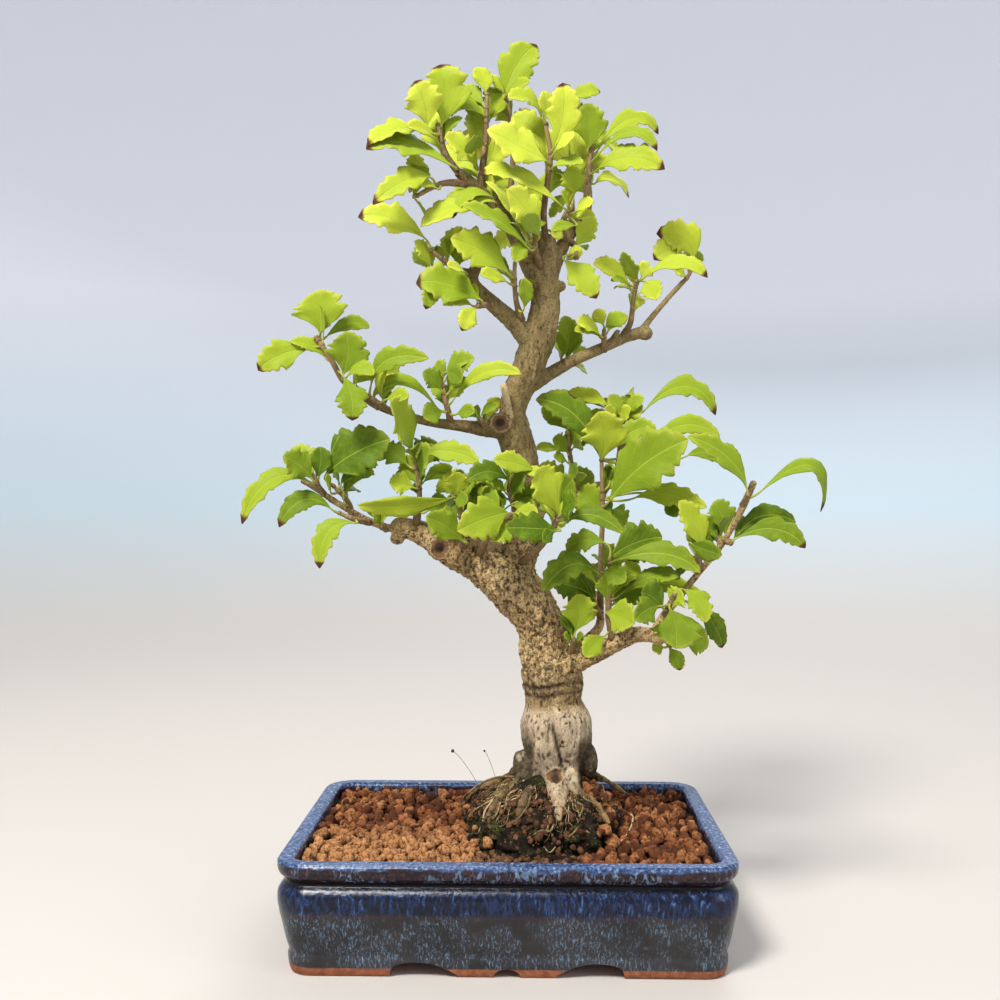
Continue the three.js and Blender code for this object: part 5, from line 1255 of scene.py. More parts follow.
def add_bark(mesh):
    """Move the wood's points into bark, and mark how dark, scarred and thick each place is."""
    points, normals = points_of(mesh), normals_of(mesh)
    thick = np.clip((limb_radius_at(points) - 1.5) / 7, 0.12, 1)
    height = points[:, 2]
    coarse = noise_at(points, (0.11, 0.11, 0.06))
    ridges = noise_at(points, (0.42, 0.42, 0.11), 7)
    fine = noise_at(points, (0.9, 0.9, 0.45), 3)
    grain = noise_at(points, (1.7, 1.7, 1.1), 11)
    drift = 2.6 * noise_at(points, (0.06, 0.06, 0.0), 5) + 0.07 * (points[:, 0] - 23.5)
    rings = sum(depth * np.exp(-((height - level - drift) / WIRE_WIDTH) ** 2) for level, depth in WIRE_MARKS)
    rough = above(height, ROUGH_LOW, 10) * below(height, ROUGH_HIGH, 30)
    crack = np.clip(1 - np.abs(ridges) * 7, 0, 1) * np.clip(coarse + 0.55, 0, 1)
    pits = np.clip((noise_at(points, (0.75, 0.75, 0.36), 19) - 0.3) * 4, 0, 1)
    large_warts, small_warts = noise_at(points, (0.5, 0.5, 0.4), 29), noise_at(points, (1.2, 1.2, 0.9), 37)
    warts = (0.6 * large_warts + 0.5 * small_warts) * rough
    smooth = 1 - 0.55 * below(height, SMOOTH_TOP, 8)
    folds = noise_at(points, (0.5, 0.5, 0.09), 53) * below(height, FOLDS_TOP, 6)
    lift = 0.9 * coarse + (0.6 * ridges + 0.45 * fine + 0.3 * grain) * smooth + 1.2 * warts + 0.6 * folds
    lift = lift * thick - 1.1 * rings * thick - 0.55 * crack * thick * smooth - 0.4 * pits * thick
    relief, scar = scars_at(points, normals, grain)
    crease = crease_at(points)
    lift += relief - CREASE_DEPTH * crease
    hollow = np.clip(-warts * 3 - 0.2, 0, 1)
    seams = 0.28 * np.clip(-folds * 4 - 0.35, 0, 1)
    # Dark mark: the bark's own dark cracks and pits, with painted shade in its recesses (cracks, pits, the
    # crease, wire marks, wart hollows and fold seams).
    dark = np.clip(0.8 * crack * smooth + pits + 1.4 * crease + 0.9 * rings + 0.9 * hollow + seams, 0, 1)
    dark -= 0.6 * pits * above(height, FEW_PITS, 20)
    dark = np.clip(dark, 0, 1) * (0.3 + 0.7 * thick)
    set_points(mesh, points + normals * lift[:, None])
    set_mark(mesh, np.stack([dark, scar, thick], axis=1))


# Pot
POT_OUTSIDE = [
    (FOOT_INSET, 0), (5.3, 2.4), (4.7, 7.6), (5.2, 9.4), (4, 13.5), (2.9, 18), (1.9, 22.5), (0.8, 27),
    (0, 32.5), (0.3, 36), (1.8, 38.6), (3.8, 41), (0.6, 44.6), (0, 49), (1.2, POT_HEIGHT),
]
POT_INSIDE = [(RIM_WIDTH - 1.5, POT_HEIGHT), (RIM_WIDTH, 49), (RIM_WIDTH, 38), (10, 20), (13, FLOOR_TOP)]
CORNER_STEPS = 14
LEAST_CORNER = 3
ARCH_STEPS = 4
# Edges sharper than these angles, in degrees, stay sharp
POT_SHARP, BED_SHARP = 38, 40
# Openings between the feet, as (along, up): under the left half of a long side, between the halves
# of its middle foot, and under a short side
LEFT_ARCH = [
    (-51.6, -2), (-51.4, 1.5), (-50.2, 4.6), (-47.5, 6), (-43, 6.8), (-36, 6.8), (-29.4, 5.2),
    (-24.5, 2.9), (-21.5, 0.8), (-19.8, -2),
]
MIDDLE_ARCH = [(-6.5, -2), (-5.2, 2.2), (-2.4, 3.9), (2.4, 3.9), (5.2, 2.2), (6.5, -2)]
SIDE_ARCH = [
    (-17, -2), (-16.6, 3.4), (-14.4, 5.6), (-10, FOOT_HEIGHT), (10, FOOT_HEIGHT), (14.4, 5.6),
    (16.6, 3.4), (17, -2),
]


def pot_ring(inset, z):
    half_width, half_depth = POT_WIDTH / 2 - inset, POT_DEPTH / 2 - inset
    corner = max(POT_CORNER - inset, LEAST_CORNER)
    ring = []
    for quarter, (sx, sy) in enumerate([(1, 1), (-1, 1), (-1, -1), (1, -1)]):
        for i in range(CORNER_STEPS + 1):
            angle = math.pi / 2 * (quarter + i / CORNER_STEPS)
            ring.append(Vector((
                sx * (half_width - corner) + corner * math.cos(angle),
                sy * (half_depth - corner) + corner * math.sin(angle),
                z,
            )))
    full = []
    for i, a in enumerate(ring):
        b = ring[(i + 1) % len(ring)]
        parts = max(1, round((b - a).length / 6))
        full += [a.lerp(b, k / parts) for k in range(parts)]
    return full


def smooth_profile(rows, steps):
    points = [Vector((inset, z, 0)) for inset, z in rows]
    spans = len(rows) - 1
    return [tuple(curve_point(points, i / (spans * steps)))[:2] for i in range(spans * steps + 1)]


def cutter(name, arch, along_x):
    """An opening between two feet, run right through the pot's foot."""
    bends = [Vector((along, up, 0)) for along, up in arch]
    steps = ARCH_STEPS * (len(arch) - 1)
    outline = [tuple(curve_point(bends, i / steps))[:2] for i in range(steps + 1)]
    builder = Builder()
    count = len(outline)
    reach = POT_WIDTH
    points = []
    for end in (-reach, reach):
        for across, z in outline:
            points.append(Vector((end, across, z)) if along_x else Vector((across, end, z)))
    builder.add(points, loft_faces(2, count))
    piece = builder.build(name, [])
    mend = bmesh.new()
    mend.from_mesh(piece.data)
    bmesh.ops.recalc_face_normals(mend, faces=mend.faces)
    mend.to_mesh(piece.data)
    mend.free()
    return piece


def make_pot(materials):
    skirt = FOOT_INSET + FOOT_SKIRT
    profile = [(skirt, FOOT_HEIGHT), (skirt, FOOT_BEVEL)]
    profile += [(skirt - FOOT_BEVEL, 0), (FOOT_INSET + FOOT_BEVEL, 0)]
    profile += smooth_profile(POT_OUTSIDE, 5)[1:]
    profile += [(RIM_WIDTH - 4, POT_HEIGHT)]
    profile += smooth_profile(POT_INSIDE, 4)
    builder = Builder()
    base = pot_ring(0, 0)
    points = []
    for inset, z in profile:
        points += ring_like(base, max(inset, 0), min(z, POT_HEIGHT))
    builder.add(points, loft_faces(len(profile), len(base)))
    piece = builder.build("pot_glazed", materials)
    right_arch = [(-along, up) for along, up in LEFT_ARCH]
    cutters = [cutter(f"cut_{i}", arch, False) for i, arch in enumerate((LEFT_ARCH, MIDDLE_ARCH, right_arch))]
    cutters.append(cutter("cut_side", SIDE_ARCH, True))
    for side in (-1, 1):
        cutters.append(hole_cutter(side))
    kinds = [("BOOLEAN", {"operation": "DIFFERENCE", "solver": "EXACT", "object": tool}) for tool in cutters]
    mesh = evaluated(piece, *kinds)
    for tool in cutters:
        bpy.data.objects.remove(tool)
    soften(mesh, POT_SHARP)
    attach(piece, "root")
    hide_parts("pot")


def ring_like(base, inset, z):
    """The rounded rectangle at one inset, with a point for each point of the base ring."""
    ring = []
    corner = max(POT_CORNER - inset, LEAST_CORNER)
    inner_x, inner_y = POT_WIDTH / 2 - POT_CORNER, POT_DEPTH / 2 - POT_CORNER
    straight_x, straight_y = POT_WIDTH / 2 - inset - corner, POT_DEPTH / 2 - inset - corner
    for point in base:
        x, y = point.x, point.y
        over_x, over_y = abs(x) - inner_x, abs(y) - inner_y
        if over_x > 0 and over_y > 0:
            angle = math.atan2(over_y, over_x)
            new_x = straight_x + corner * math.cos(angle)
            new_y = straight_y + corner * math.sin(angle)
        elif over_x > 0:
            new_x, new_y = POT_WIDTH / 2 - inset, abs(y) * straight_y / inner_y
        else:
            new_x, new_y = abs(x) * straight_x / inner_x, POT_DEPTH / 2 - inset
        ring.append(Vector((math.copysign(new_x, x), math.copysign(new_y, y), z)))
    return ring


def hole_cutter(side):
    centres = [Vector((side * DRAIN_HOLE_SPREAD / 2, 0, z)) for z in (-3, FLOOR_TOP + 6)]
    points, faces = tube(centres, [DRAIN_HOLE_RADIUS] * 2, 40)
    builder = Builder()
    builder.add(points, faces)
    return builder.build("cut_hole" + str(side + 1), [])


def soften(mesh, degrees):
    """Smooth shading, with edges sharper than the angle left sharp."""
    bm = bmesh.new()
    bm.from_mesh(mesh)
    for face in bm.faces:
        face.smooth = True
    for edge in bm.edges:
        edge.smooth = not (len(edge.link_faces) == 2 and edge.calc_face_angle(0) > math.radians(degrees))
    bm.to_mesh(mesh)
    bm.free()


# Ground: the old root ball, clay grains, moss and fine roots
GRAIN_SIZE = 4.9
GRAIN_SIZES = (0.28, 0.36, 0.44, 0.5, 0.56, 0.66)
GRAIN_LAYERS = ((0.0, -1.4), (0.5, 0.6))
GRAIN_SPREAD = 2.1
# Closeness of the rows, how high grains lie, share left out of the upper layer, where the two
# pieces meet; then how many shapes of grain, how finely divided, how lumpy
ROW_STEP = 0.88
GRAIN_HEIGHTS = (-0.9, 1.1)
LEFT_OUT = 0.4
GRAIN_HALVES_AT = 12
GRAIN_SHAPES = (16, 2, 0.34)
# A grain's flat sides, how near its middle they lie, and the growth that makes up for them
GRAIN_SIDES, GRAIN_CUT, GRAIN_GROWTH = 9, (0.55, 0.85), 1.22


# Dark humus between the root ball and the front of the pot
HUMUS = {"centre": (15.5, -41, 42), "radius": (29, 21, 6.4)}
# Clods of the root ball: how fine, how far they stand out
CLODS = [(2.2, 0.1), (6, 0.075), (15, 0.05), (31, 0.03), (60, 0.016)]


def lumpy(spots, blob, size, gain, offset):
    """A ball's points laid out as a blob of earth with clods."""
    points = []
    for spot in spots:
        unit = spot.normalized()
        lump = size + sum(gain * share * noise.noise(unit * scale + offset) for scale, share in CLODS)
        reach = Vector([unit[i] * blob["radius"][i] for i in range(3)])
        points.append(Vector(blob["centre"]) + reach * lump)
    return points


def make_mound(materials):
    spots, faces = unit_ball(6)
    builder = Builder()
    builder.add(lumpy(spots, MOUND, 0.97, 1, Vector((0, 0, 0))), faces)
    builder.add(lumpy(spots, HUMUS, 1, 2, Vector((5, 0, 0))), faces)
    piece = builder.build("root_ball_soil", materials)
    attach(piece, "root")
    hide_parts("root_ball")


def grain_shapes(draw, count, subdivisions, lumps):
    """Broken grains with flat sides, of which each one placed is a turned and scaled copy."""
    shapes = []
    for n in range(count):
        spots, faces = unit_ball(subdivisions)
        seed = Vector((n * 3.1, n * 1.7, 0))
        squash = Vector((draw.uniform(0.95, 1.3), draw.uniform(0.75, 1.0), draw.uniform(0.6, 0.85)))
        sides = [Vector([draw.gauss(0, 1) for _ in range(3)]).normalized() for _ in range(GRAIN_SIDES)]
        cuts = [(side, draw.uniform(*GRAIN_CUT)) for side in sides]
        points = []
        for v in spots:
            u = v.normalized()
            spot = u.copy()
            for side, reach in cuts:
                over = spot.dot(side) - reach
                if over > 0:
                    spot -= side * over
            spot *= 1 + lumps * (noise.noise(u * 1.9 + seed) + 0.5 * noise.noise(u * 4.3 + seed))
            points.append(Vector((spot.x * squash.x, spot.y * squash.y, spot.z * squash.z)) * GRAIN_GROWTH)
        shapes.append((points, faces))
    return shapes


def turned(draw):
    return Euler([draw.uniform(0, FULL_TURN) for _ in range(3)]).to_matrix()


def inside_pot(x, y, inset):
    half_x, half_y = POT_WIDTH / 2 - inset, POT_DEPTH / 2 - inset
    corner = max(POT_CORNER - inset, LEAST_CORNER)
    over_x, over_y = abs(x) - half_x + corner, abs(y) - half_y + corner
    if over_x > 0 and over_y > 0:
        return math.hypot(over_x, over_y) < corner
    return abs(x) < half_x and abs(y) < half_y


def on_mound(x, y, grow=1.0):
    centre, radius = MOUND["centre"], MOUND["radius"]
    return ((x - centre[0]) / (radius[0] * grow)) ** 2 + ((y - centre[1]) / (radius[1] * grow)) ** 2 < 1


def under_grains(x, y):
    """Whether clay grains lie here: all round the root ball and over its right shoulder."""
    uneven = noise.noise(Vector((x * 0.09, y * 0.09, 3)))
    bare_front = y < -14 and abs(x - HUMUS["centre"][0] + 3) < 23 + 12 * uneven
    shoulder = x > MOUND["centre"][0] + 17 + 9 * uneven and y > -26 + 20 * uneven
    return shoulder or not (on_mound(x, y, 0.9 + 0.16 * uneven) or bare_front)


def make_grains(materials):
    draw = random.Random(11)
    shapes = grain_shapes(draw, *GRAIN_SHAPES)
    halves = {"grains_left": Builder(), "grains_right": Builder()}
    for offset, lift in GRAIN_LAYERS:
        columns, rows = int(POT_WIDTH / GRAIN_SIZE) + 1, int(POT_DEPTH / (GRAIN_SIZE * ROW_STEP)) + 1
        for j in range(rows):
            for i in range(columns):
                x = -POT_WIDTH / 2 + (i + offset + 0.5 * (j % 2)) * GRAIN_SIZE
                x += draw.uniform(-GRAIN_SPREAD, GRAIN_SPREAD)
                y = -POT_DEPTH / 2 + (j + offset) * GRAIN_SIZE * ROW_STEP
                y += draw.uniform(-GRAIN_SPREAD, GRAIN_SPREAD)
                size = GRAIN_SIZE * draw.choice(GRAIN_SIZES)
                rotation = turned(draw)
                tone, shape = draw.random(), shapes[draw.randrange(len(shapes))]
                height = draw.uniform(*GRAIN_HEIGHTS)
                if not inside_pot(x, y, RIM_WIDTH + 0.6 + size) or not under_grains(x, y):
                    continue
                if lift > 0 and draw.random() < LEFT_OUT:
                    continue
                centre = Vector((x, y, max(soil_level(x, y), ground_height(x, y) - 0.5) + lift + height))
                points = [centre + rotation @ p * size for p in shape[0]]
                builder = halves["grains_left" if x < GRAIN_HALVES_AT else "grains_right"]
                builder.add(points, shape[1], 0, (tone, 0, 0))
    for name, builder in halves.items():
        piece = builder.build(name, materials)
        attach(piece, "root")
        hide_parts("soil")


# Outline of the soil's body, as inset from the pot's outer face and height
BED_PROFILE = [(13.4, 13.7), (10.4, 20.5), (8.4, 38), (8.4, SOIL_LEVEL - 2.6)]


def make_bed(materials):
    """The body of the soil under the loose grains; its dark colour paints shade in the gaps."""
    base = pot_ring(0, 0)
    points = []
    for inset, z in BED_PROFILE:
        points += ring_like(base, inset, z)
    builder = Builder()
    builder.add(points, loft_faces(len(BED_PROFILE), len(base)), 0, (0.2, 0, 0))
    piece = builder.build("soil_bed", materials)
    soften(piece.data, BED_SHARP)
    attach(piece, "root")
    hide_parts("soil")


# Grit: how many stones, their sizes, and their shapes as for the grains
GRIT_COUNT = 3000
GRIT_SIZES = (0.3, 0.35, 0.4, 0.5, 0.65, 0.85, 1.15, 1.5)
GRIT_SHAPES = (10, 1, 0.3)


def make_grit(materials):
    """Small stones and crumbs lying on the root ball."""
    draw = random.Random(23)
    shapes = grain_shapes(draw, *GRIT_SHAPES)
    builder = Builder()
    centre, radius = MOUND["centre"], MOUND["radius"]
    for _ in range(GRIT_COUNT):
        x = centre[0] + radius[0] * draw.uniform(-1.05, 1.05)
        y = centre[1] + radius[1] * draw.uniform(-1.35, 1.05)
        size = draw.choice(GRIT_SIZES) * (1.3 if y < -28 else 0.85)
        rotation = turned(draw)
        tone, shape = draw.random(), shapes[draw.randrange(len(shapes))]
        if under_grains(x, y) or not inside_pot(x, y, RIM_WIDTH + 2):
            continue
        spot = Vector((x, y, ground_height(x, y) - 0.2))
        points = [spot + rotation @ p * size for p in shape[0]]
        builder.add(points, shape[1], 0, (tone, 1, 0))
    piece = builder.build("grit", materials)
    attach(piece, "root")


def on_ground(s, t, lift):
    away = ground_away(s, t)
    return place(s, t, away) + Vector((0, -0.35, 0.9)) * lift


# Fans of fine roots over the root ball: from and to on the sheet, spread at the start and the end,
# how many, thickest radius
ROOT_FANS = [
    ((263, 388.5), (232, 404), 2.0, 7.0, 13, 0.55),
    ((264, 391), (242, 415), 2.5, 8.0, 10, 0.55),
    ((268, 391), (256, 414), 1.5, 2.0, 2, 1.1),
    ((279, 400), (276, 420), 3.0, 9.0, 9, 0.34),
    ((287, 392), (302, 409), 3.0, 7.0, 7, 0.42),
    ((285, 398), (292, 418), 2.5, 8.0, 7, 0.34),
]
FAN_STEPS = 14
FAN_STRIDE = 9


def add_root_fan(builder, draw, fan):
    start, end, spread_start, spread_end, count, thickest = fan
    for _ in range(count):
        lean, bow, phase = draw.gauss(0, 0.5), draw.uniform(-0.12, 0.12), draw.uniform(0, FULL_TURN)
        first = (start[0] + lean * spread_start, start[1] + draw.gauss(0, 0.5) * spread_start)
        last = (end[0] + (lean + draw.gauss(0, 0.5)) * spread_end, end[1] + draw.gauss(0, 0.5) * spread_end)
        radius = thickest * draw.uniform(0.35, 1) ** 1.5
        reach = draw.uniform(0.6, 1)
        centres, radii = [], []
        for i in range(FAN_STEPS + 1):
            u = reach * i / FAN_STEPS
            waves = 0.05 * math.sin(phase + 8 * u) + 0.02 * math.sin(2.3 * phase + 21 * u)
            sway = bow * math.sin(math.pi * u) + waves
            s = first[0] + (last[0] - first[0]) * u - (last[1] - first[1]) * sway
            t = first[1] + (last[1] - first[1]) * u + (last[0] - first[0]) * sway
            centres.append(on_ground(s, t, radius * 0.5 + 0.25 * math.sin(phase + 7 * u)))
            radii.append(radius * (1 - 0.75 * u))
        longest = max((b - a).length for a, b in zip(centres, centres[1:]))
        if longest > FAN_STRIDE:
            continue
        points, faces = tube(centres, radii, 6)
        builder.add(points, faces, 0, (0.5, 0.2, draw.random()))


# The trunk's tapered foot in front of the root ball: s, t, radius, how far it stands out
FOOT_ROOT = [
    (277, 376, 8.5, -5), (278, 386, 7.4, -3.6), (279, 394, 5.6, -2.2), (280, 402, 3.6, -1),
    (280.5, 411, 1.3, 0),
]
FOOT_ROOT_SIDES = 20
SPROUT_RADIUS = 0.13
MOSS_COUNT = 2600
MOSS_LENGTH = (1.0, 3.2)


def add_sprout(builder, foot, head, radius):
    """A thin bent stalk with a dark round head."""
    start = on_ground(*foot, -1)
    end = place(*head, start.y)
    control = Vector((end.x * 0.6 + start.x * 0.4, start.y, end.z * 0.8 + start.z * 0.2))
    centres = [bend(start, control, end, u) for u in np.linspace(0, 1, 12)]
    points, faces = tube(centres, [SPROUT_RADIUS] * len(centres), 5)
    builder.add(points, faces, 0, (0.5, 0.2, 0.3))
    ball = [end + Vector((0, 0, up)) * radius for up in (-1, -0.7, 0, 0.7, 1)]
    points, faces = tube(ball, [share * radius for share in (0.2, 0.7, 1, 0.7, 0.2)], 8)
    builder.add(points, faces, 1)


def make_fine_roots(materials):
    builder = Builder()
    draw = random.Random(31)
    for path in FINE_ROOTS:
        line = [on_ground(s, t, r + 0.5) for s, t, r in path]
        steps = 6 * len(path)
        spans = len(path) - 1
        centres, radii = [], []
        for i in range(steps + 1):
            share = i / steps
            k = min(int(share * spans), spans - 1)
            weight = share * spans - k
            centres.append(curve_point(line, share))
            radii.append(0.7 * (path[k][2] * (1 - weight) + path[k + 1][2] * weight))
        points, faces = tube(centres, radii, 7)
        builder.add(points, faces, 0, (0.5, 0.2, draw.random()))
    for fan in ROOT_FANS:
        add_root_fan(builder, draw, fan)
    for sprout in SPROUTS:
        add_sprout(builder, *sprout)
    piece = builder.build("fine_roots", materials)
    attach(piece, "root")


def make_moss(materials):
    """Short green strands in tufts on the root ball and round the trunk's foot."""
    draw = random.Random(47)
    builder = Builder()
    centre, radius = MOUND["centre"], MOUND["radius"]
    for _ in range(MOSS_COUNT):
        x = centre[0] + radius[0] * draw.uniform(-1, 1)
        y = centre[1] + radius[1] * draw.uniform(-1, 1)
        tuft = noise.noise(Vector((x * 0.11, y * 0.11, 8))) + 0.5 * noise.noise(Vector((x * 0.4, y * 0.4, 2)))
        aim = Vector((draw.gauss(0, 0.6), draw.gauss(-0.3, 0.6), 1)).normalized()
        length, tone = draw.uniform(*MOSS_LENGTH), draw.random()
        if tuft < 0.02 or not on_mound(x, y, 0.97):
            continue
        root = Vector((x, y, ground_height(x, y) - 0.4))
        centres = [root, root + aim * 0.6 * length, root + aim * length + Vector((0, -0.15, -0.12)) * length]
        points, faces = tube(centres, [0.13, 0.11, 0.04], 3)
        builder.add(points, faces, 0, (0.5, 0.2, tone))
    piece = builder.build("moss_tufts", materials)
    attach(piece, "root")


# Materials
class Shader:
    """A procedural material built node by node."""

    def __init__(self, name):
        self.material = bpy.data.materials.new(name)
        self.material.use_nodes = True
        self.tree = self.material.node_tree
        self.surface = self.tree.nodes["Principled BSDF"]
        coordinates = self.tree.nodes.new("ShaderNodeTexCoord")
        self.place = coordinates.outputs["Object"]

    def set(self, **values):
        for key, value in values.items():
            self.surface.inputs[key.replace("_", " ")].default_value = value

    def join(self, source, target):
        if hasattr(source, "is_output"):
            self.tree.links.new(source, target)
        else:
            target.default_value = source

    def stretch(self, x, y, z):
        node = self.tree.nodes.new("ShaderNodeMapping")
        node.inputs["Scale"].default_value = (x, y, z)
        self.join(self.place, node.inputs["Vector"])
        return node.outputs["Vector"]

    def noise(self, scale, detail=3.0, roughness=0.55, vector=None, distortion=0.0):
        node = self.tree.nodes.new("ShaderNodeTexNoise")
        self.join(vector or self.place, node.inputs["Vector"])
        node.inputs["Scale"].default_value = scale
        node.inputs["Detail"].default_value = detail
        node.inputs["Roughness"].default_value = roughness
        node.inputs["Distortion"].default_value = distortion
        return node.outputs["Fac"]

    def cells(self, scale, vector=None):
        node = self.tree.nodes.new("ShaderNodeTexVoronoi")
        self.join(vector or self.place, node.inputs["Vector"])
        node.inputs["Scale"].default_value = scale
        return node.outputs["Distance"]

    def ramp(self, factor, *stops):
        node = self.tree.nodes.new("ShaderNodeValToRGB")
        self.join(factor, node.inputs["Fac"])
        elements = node.color_ramp.elements
        while len(elements) < len(stops):
            elements.new(0.5)
        for element, (position, colour) in zip(elements, stops):
            element.position = position
            element.color = (*colour, 1) if isinstance(colour, tuple) else (colour, colour, colour, 1)
        return node.outputs["Color"]

    def mix(self, factor, first, second):
        node = self.tree.nodes.new("ShaderNodeMix")
        node.data_type = "RGBA"
        node.clamp_factor = True
        self.join(factor, node.inputs["Factor"])
        for value, key in ((first, 6), (second, 7)):
            self.join((*value, 1) if isinstance(value, tuple) else value, node.inputs[key])
        return node.outputs[2]

    def math(self, operation, first, second=0.0):
        node = self.tree.nodes.new("ShaderNodeMath")
        node.operation = operation
        self.join(first, node.inputs[0])
        self.join(second, node.inputs[1])
        return node.outputs[0]

    def times(self, first, second):
        return self.math("MULTIPLY", first, second)

    def plus(self, first, second):
        return self.math("ADD", first, second)

    def minus(self, first, second):
        return self.math("SUBTRACT", first, second)

    def band(self, value, low, high, soft):
        """1 between low and high, fading over soft on each side."""
        return self.minus(self.fade(value, low - soft, low), self.fade(value, high, high + soft))

    def fade(self, value, start, end):
        node = self.tree.nodes.new("ShaderNodeMapRange")
        node.interpolation_type = "SMOOTHSTEP"
        flip = end < start
        self.join(value, node.inputs["Value"])
        node.inputs["From Min"].default_value = end if flip else start
        node.inputs["From Max"].default_value = start if flip else end
        node.inputs["To Min"].default_value = 1.0 if flip else 0.0
        node.inputs["To Max"].default_value = 0.0 if flip else 1.0
        return node.outputs["Result"]

    def attribute(self, name):
        node = self.tree.nodes.new("ShaderNodeAttribute")
        node.attribute_type = "GEOMETRY"
        node.attribute_name = name
        return node

    def marks(self):
        split = self.tree.nodes.new("ShaderNodeSeparateXYZ")
        self.join(self.attribute("mark").outputs["Vector"], split.inputs[0])
        return split.outputs

    def axes(self, vector=None):
        split = self.tree.nodes.new("ShaderNodeSeparateXYZ")
        self.join(vector or self.place, split.inputs[0])
        return split.outputs

    def bump(self, height, distance, strength):
        node = self.tree.nodes.new("ShaderNodeBump")
        self.join(height, node.inputs["Height"])
        node.inputs["Distance"].default_value = distance
        node.inputs["Strength"].default_value = strength
        self.join(node.outputs["Normal"], self.surface.inputs["Normal"])

    def finish(self, colour, roughness=None):
        self.join(colour, self.surface.inputs["Base Color"])
        if roughness is not None:
            self.join(roughness, self.surface.inputs["Roughness"])
        return self.material


# The middle of the trunk's foot, and the near-black of pits and cracks, also used for the painted shade in
# the bark's recesses
FOOT_MIDDLE = (place(278, 390, -10) + SHIFT).x * MM
PIT_AND_SHADE_COLOUR = (0.03, 0.018, 0.01)


def leaf_veins(m, along, across):
    """Midrib, side veins and the faint rungs between them, 0 to 1."""
    side = m.math("ABSOLUTE", across)
    midrib = m.fade(side, 0.014, 0.005)
    lateral = m.times(m.minus(along, 0.02), 0.66)
    lateral = m.math("ABSOLUTE", m.minus(side, lateral))
    lateral = m.times(m.fade(lateral, 0.012, 0.004), m.fade(along, 0.5, 0.42))
    rung = m.minus(along, m.times(side, 1.25))
    rung = m.math("FRACT", m.math("DIVIDE", rung, 0.125))
    rung = m.fade(m.math("ABSOLUTE", m.minus(rung, 0.5)), 0.07, 0.02)
    rung = m.times(rung, m.fade(along, 0.2, 0.3))
    return m.math("MAXIMUM", m.math("MAXIMUM", midrib, lateral), m.times(rung, 0.3))


def leaf_material():
    m = Shader("leaf")
    along, across, tint = m.marks()
    edge = m.attribute("edge").outputs["Fac"]
    brown = m.math("GREATER_THAN", tint, 1.5)
    tint = m.minus(tint, m.times(brown, BROWN_MARK))
    under = m.math("LESS_THAN", tint, -0.5)
    tint = m.minus(tint, m.times(under, UNDER_MARK))
    vein = leaf_veins(m, along, across)
    mottle = m.noise(260, 4)
    _, _, z = m.axes()
    # Leaves higher up are lighter: painted light, with the lower and inner leaves in painted shade. sunny
    # mixes this with each blade's own tint.
    high = m.fade(z, 0.2, 0.37)
    sunny = m.plus(m.times(tint, 0.6), m.times(high, 0.4))
    body = m.ramp(
        sunny, (0.05, (0.076, 0.132, 0.009)), (0.4, (0.215, 0.295, 0.018)),
        (0.7, (0.42, 0.48, 0.037)), (1.0, (0.47, 0.53, 0.055)),
    )
    # Mottling towards a mid green: painted highlight in patches.
    body = m.mix(m.times(m.fade(mottle, 0.45, 0.75), 0.25), body, (0.27, 0.36, 0.015))
    yellow = m.times(m.fade(edge, 0.4, 0.0), m.fade(along, 0.3, 0.9))
    yellow = m.times(yellow, m.plus(0.04, m.times(sunny, 0.5)))
    body = m.mix(yellow, body, (0.7, 0.6, 0.1))
    body = m.mix(m.times(vein, 0.32), body, (0.42, 0.5, 0.06))
    pale = m.mix(m.times(vein, 0.5), (0.23, 0.31, 0.04), (0.4, 0.48, 0.1))
    body = m.mix(m.times(under, 0.8), body, pale)
    reach = m.plus(along, m.times(mottle, 0.08))
    dry = m.times(brown, m.fade(reach, 0.95, 1.0))
    body = m.mix(dry, body, (0.08, 0.028, 0.012))
    m.set(Specular_IOR_Level=0.07, Subsurface_Weight=0.08, Subsurface_Scale=0.001)
    m.surface.inputs["Subsurface Radius"].default_value = (1.0, 1.0, 0.1)
    crumple = m.plus(m.times(m.noise(900, 3), 0.5), m.times(vein, -0.5))
    m.bump(crumple, 0.0004, 0.8)
    return m.finish(body, m.ramp(mottle, (0.3, 0.4), (0.8, 0.58)))


def twig_material():
    m = Shader("twig")
    _, tone, _ = m.marks()
    grain = m.noise(700, 5, vector=m.stretch(1, 1, 0.35))
    body = m.ramp(
        tone, (0.0, (0.09, 0.055, 0.025)), (0.45, (0.2, 0.125, 0.055)),
        (0.75, (0.28, 0.2, 0.075)), (1.0, (0.32, 0.4, 0.03)),
    )
    body = m.mix(m.times(m.fade(grain, 0.5, 0.75), 0.7), body, (0.42, 0.31, 0.16))
    body = m.mix(m.fade(m.cells(520), 0.16, 0.04), body, (0.1, 0.06, 0.035))
    m.set(Specular_IOR_Level=0.25)
    m.bump(grain, 0.0003, 0.6)
    return m.finish(body, 0.72)


def bark_tones(m, z, low, broad, streak):
    """Bark from the dark top to the pale foot, with light and dark streaks."""
    upper = m.mix(m.fade(broad, 0.35, 0.65), (0.195, 0.138, 0.052), (0.295, 0.215, 0.09))
    middle = m.mix(m.fade(broad, 0.35, 0.65), (0.5, 0.32, 0.135), (0.66, 0.46, 0.21))
    body = m.mix(m.fade(m.plus(z, m.times(broad, 0.03)), 0.235, 0.195), upper, middle)
    collar = m.times(m.band(z, 0.108, 0.123, 0.006), m.fade(broad, 0.25, 0.5))
    body = m.mix(m.times(collar, 0.6), body, (0.14, 0.09, 0.04))
    body = m.mix(m.times(low, 0.9), body, (0.47, 0.37, 0.26))
    light = m.mix(m.fade(z, 0.24, 0.2), (0.42, 0.33, 0.155), (0.84, 0.64, 0.38))
    body = m.mix(m.times(m.fade(streak, 0.5, 0.8), 0.8), body, light)
    body = m.mix(m.fade(streak, 0.44, 0.3), body, (0.1, 0.06, 0.025))
    return body


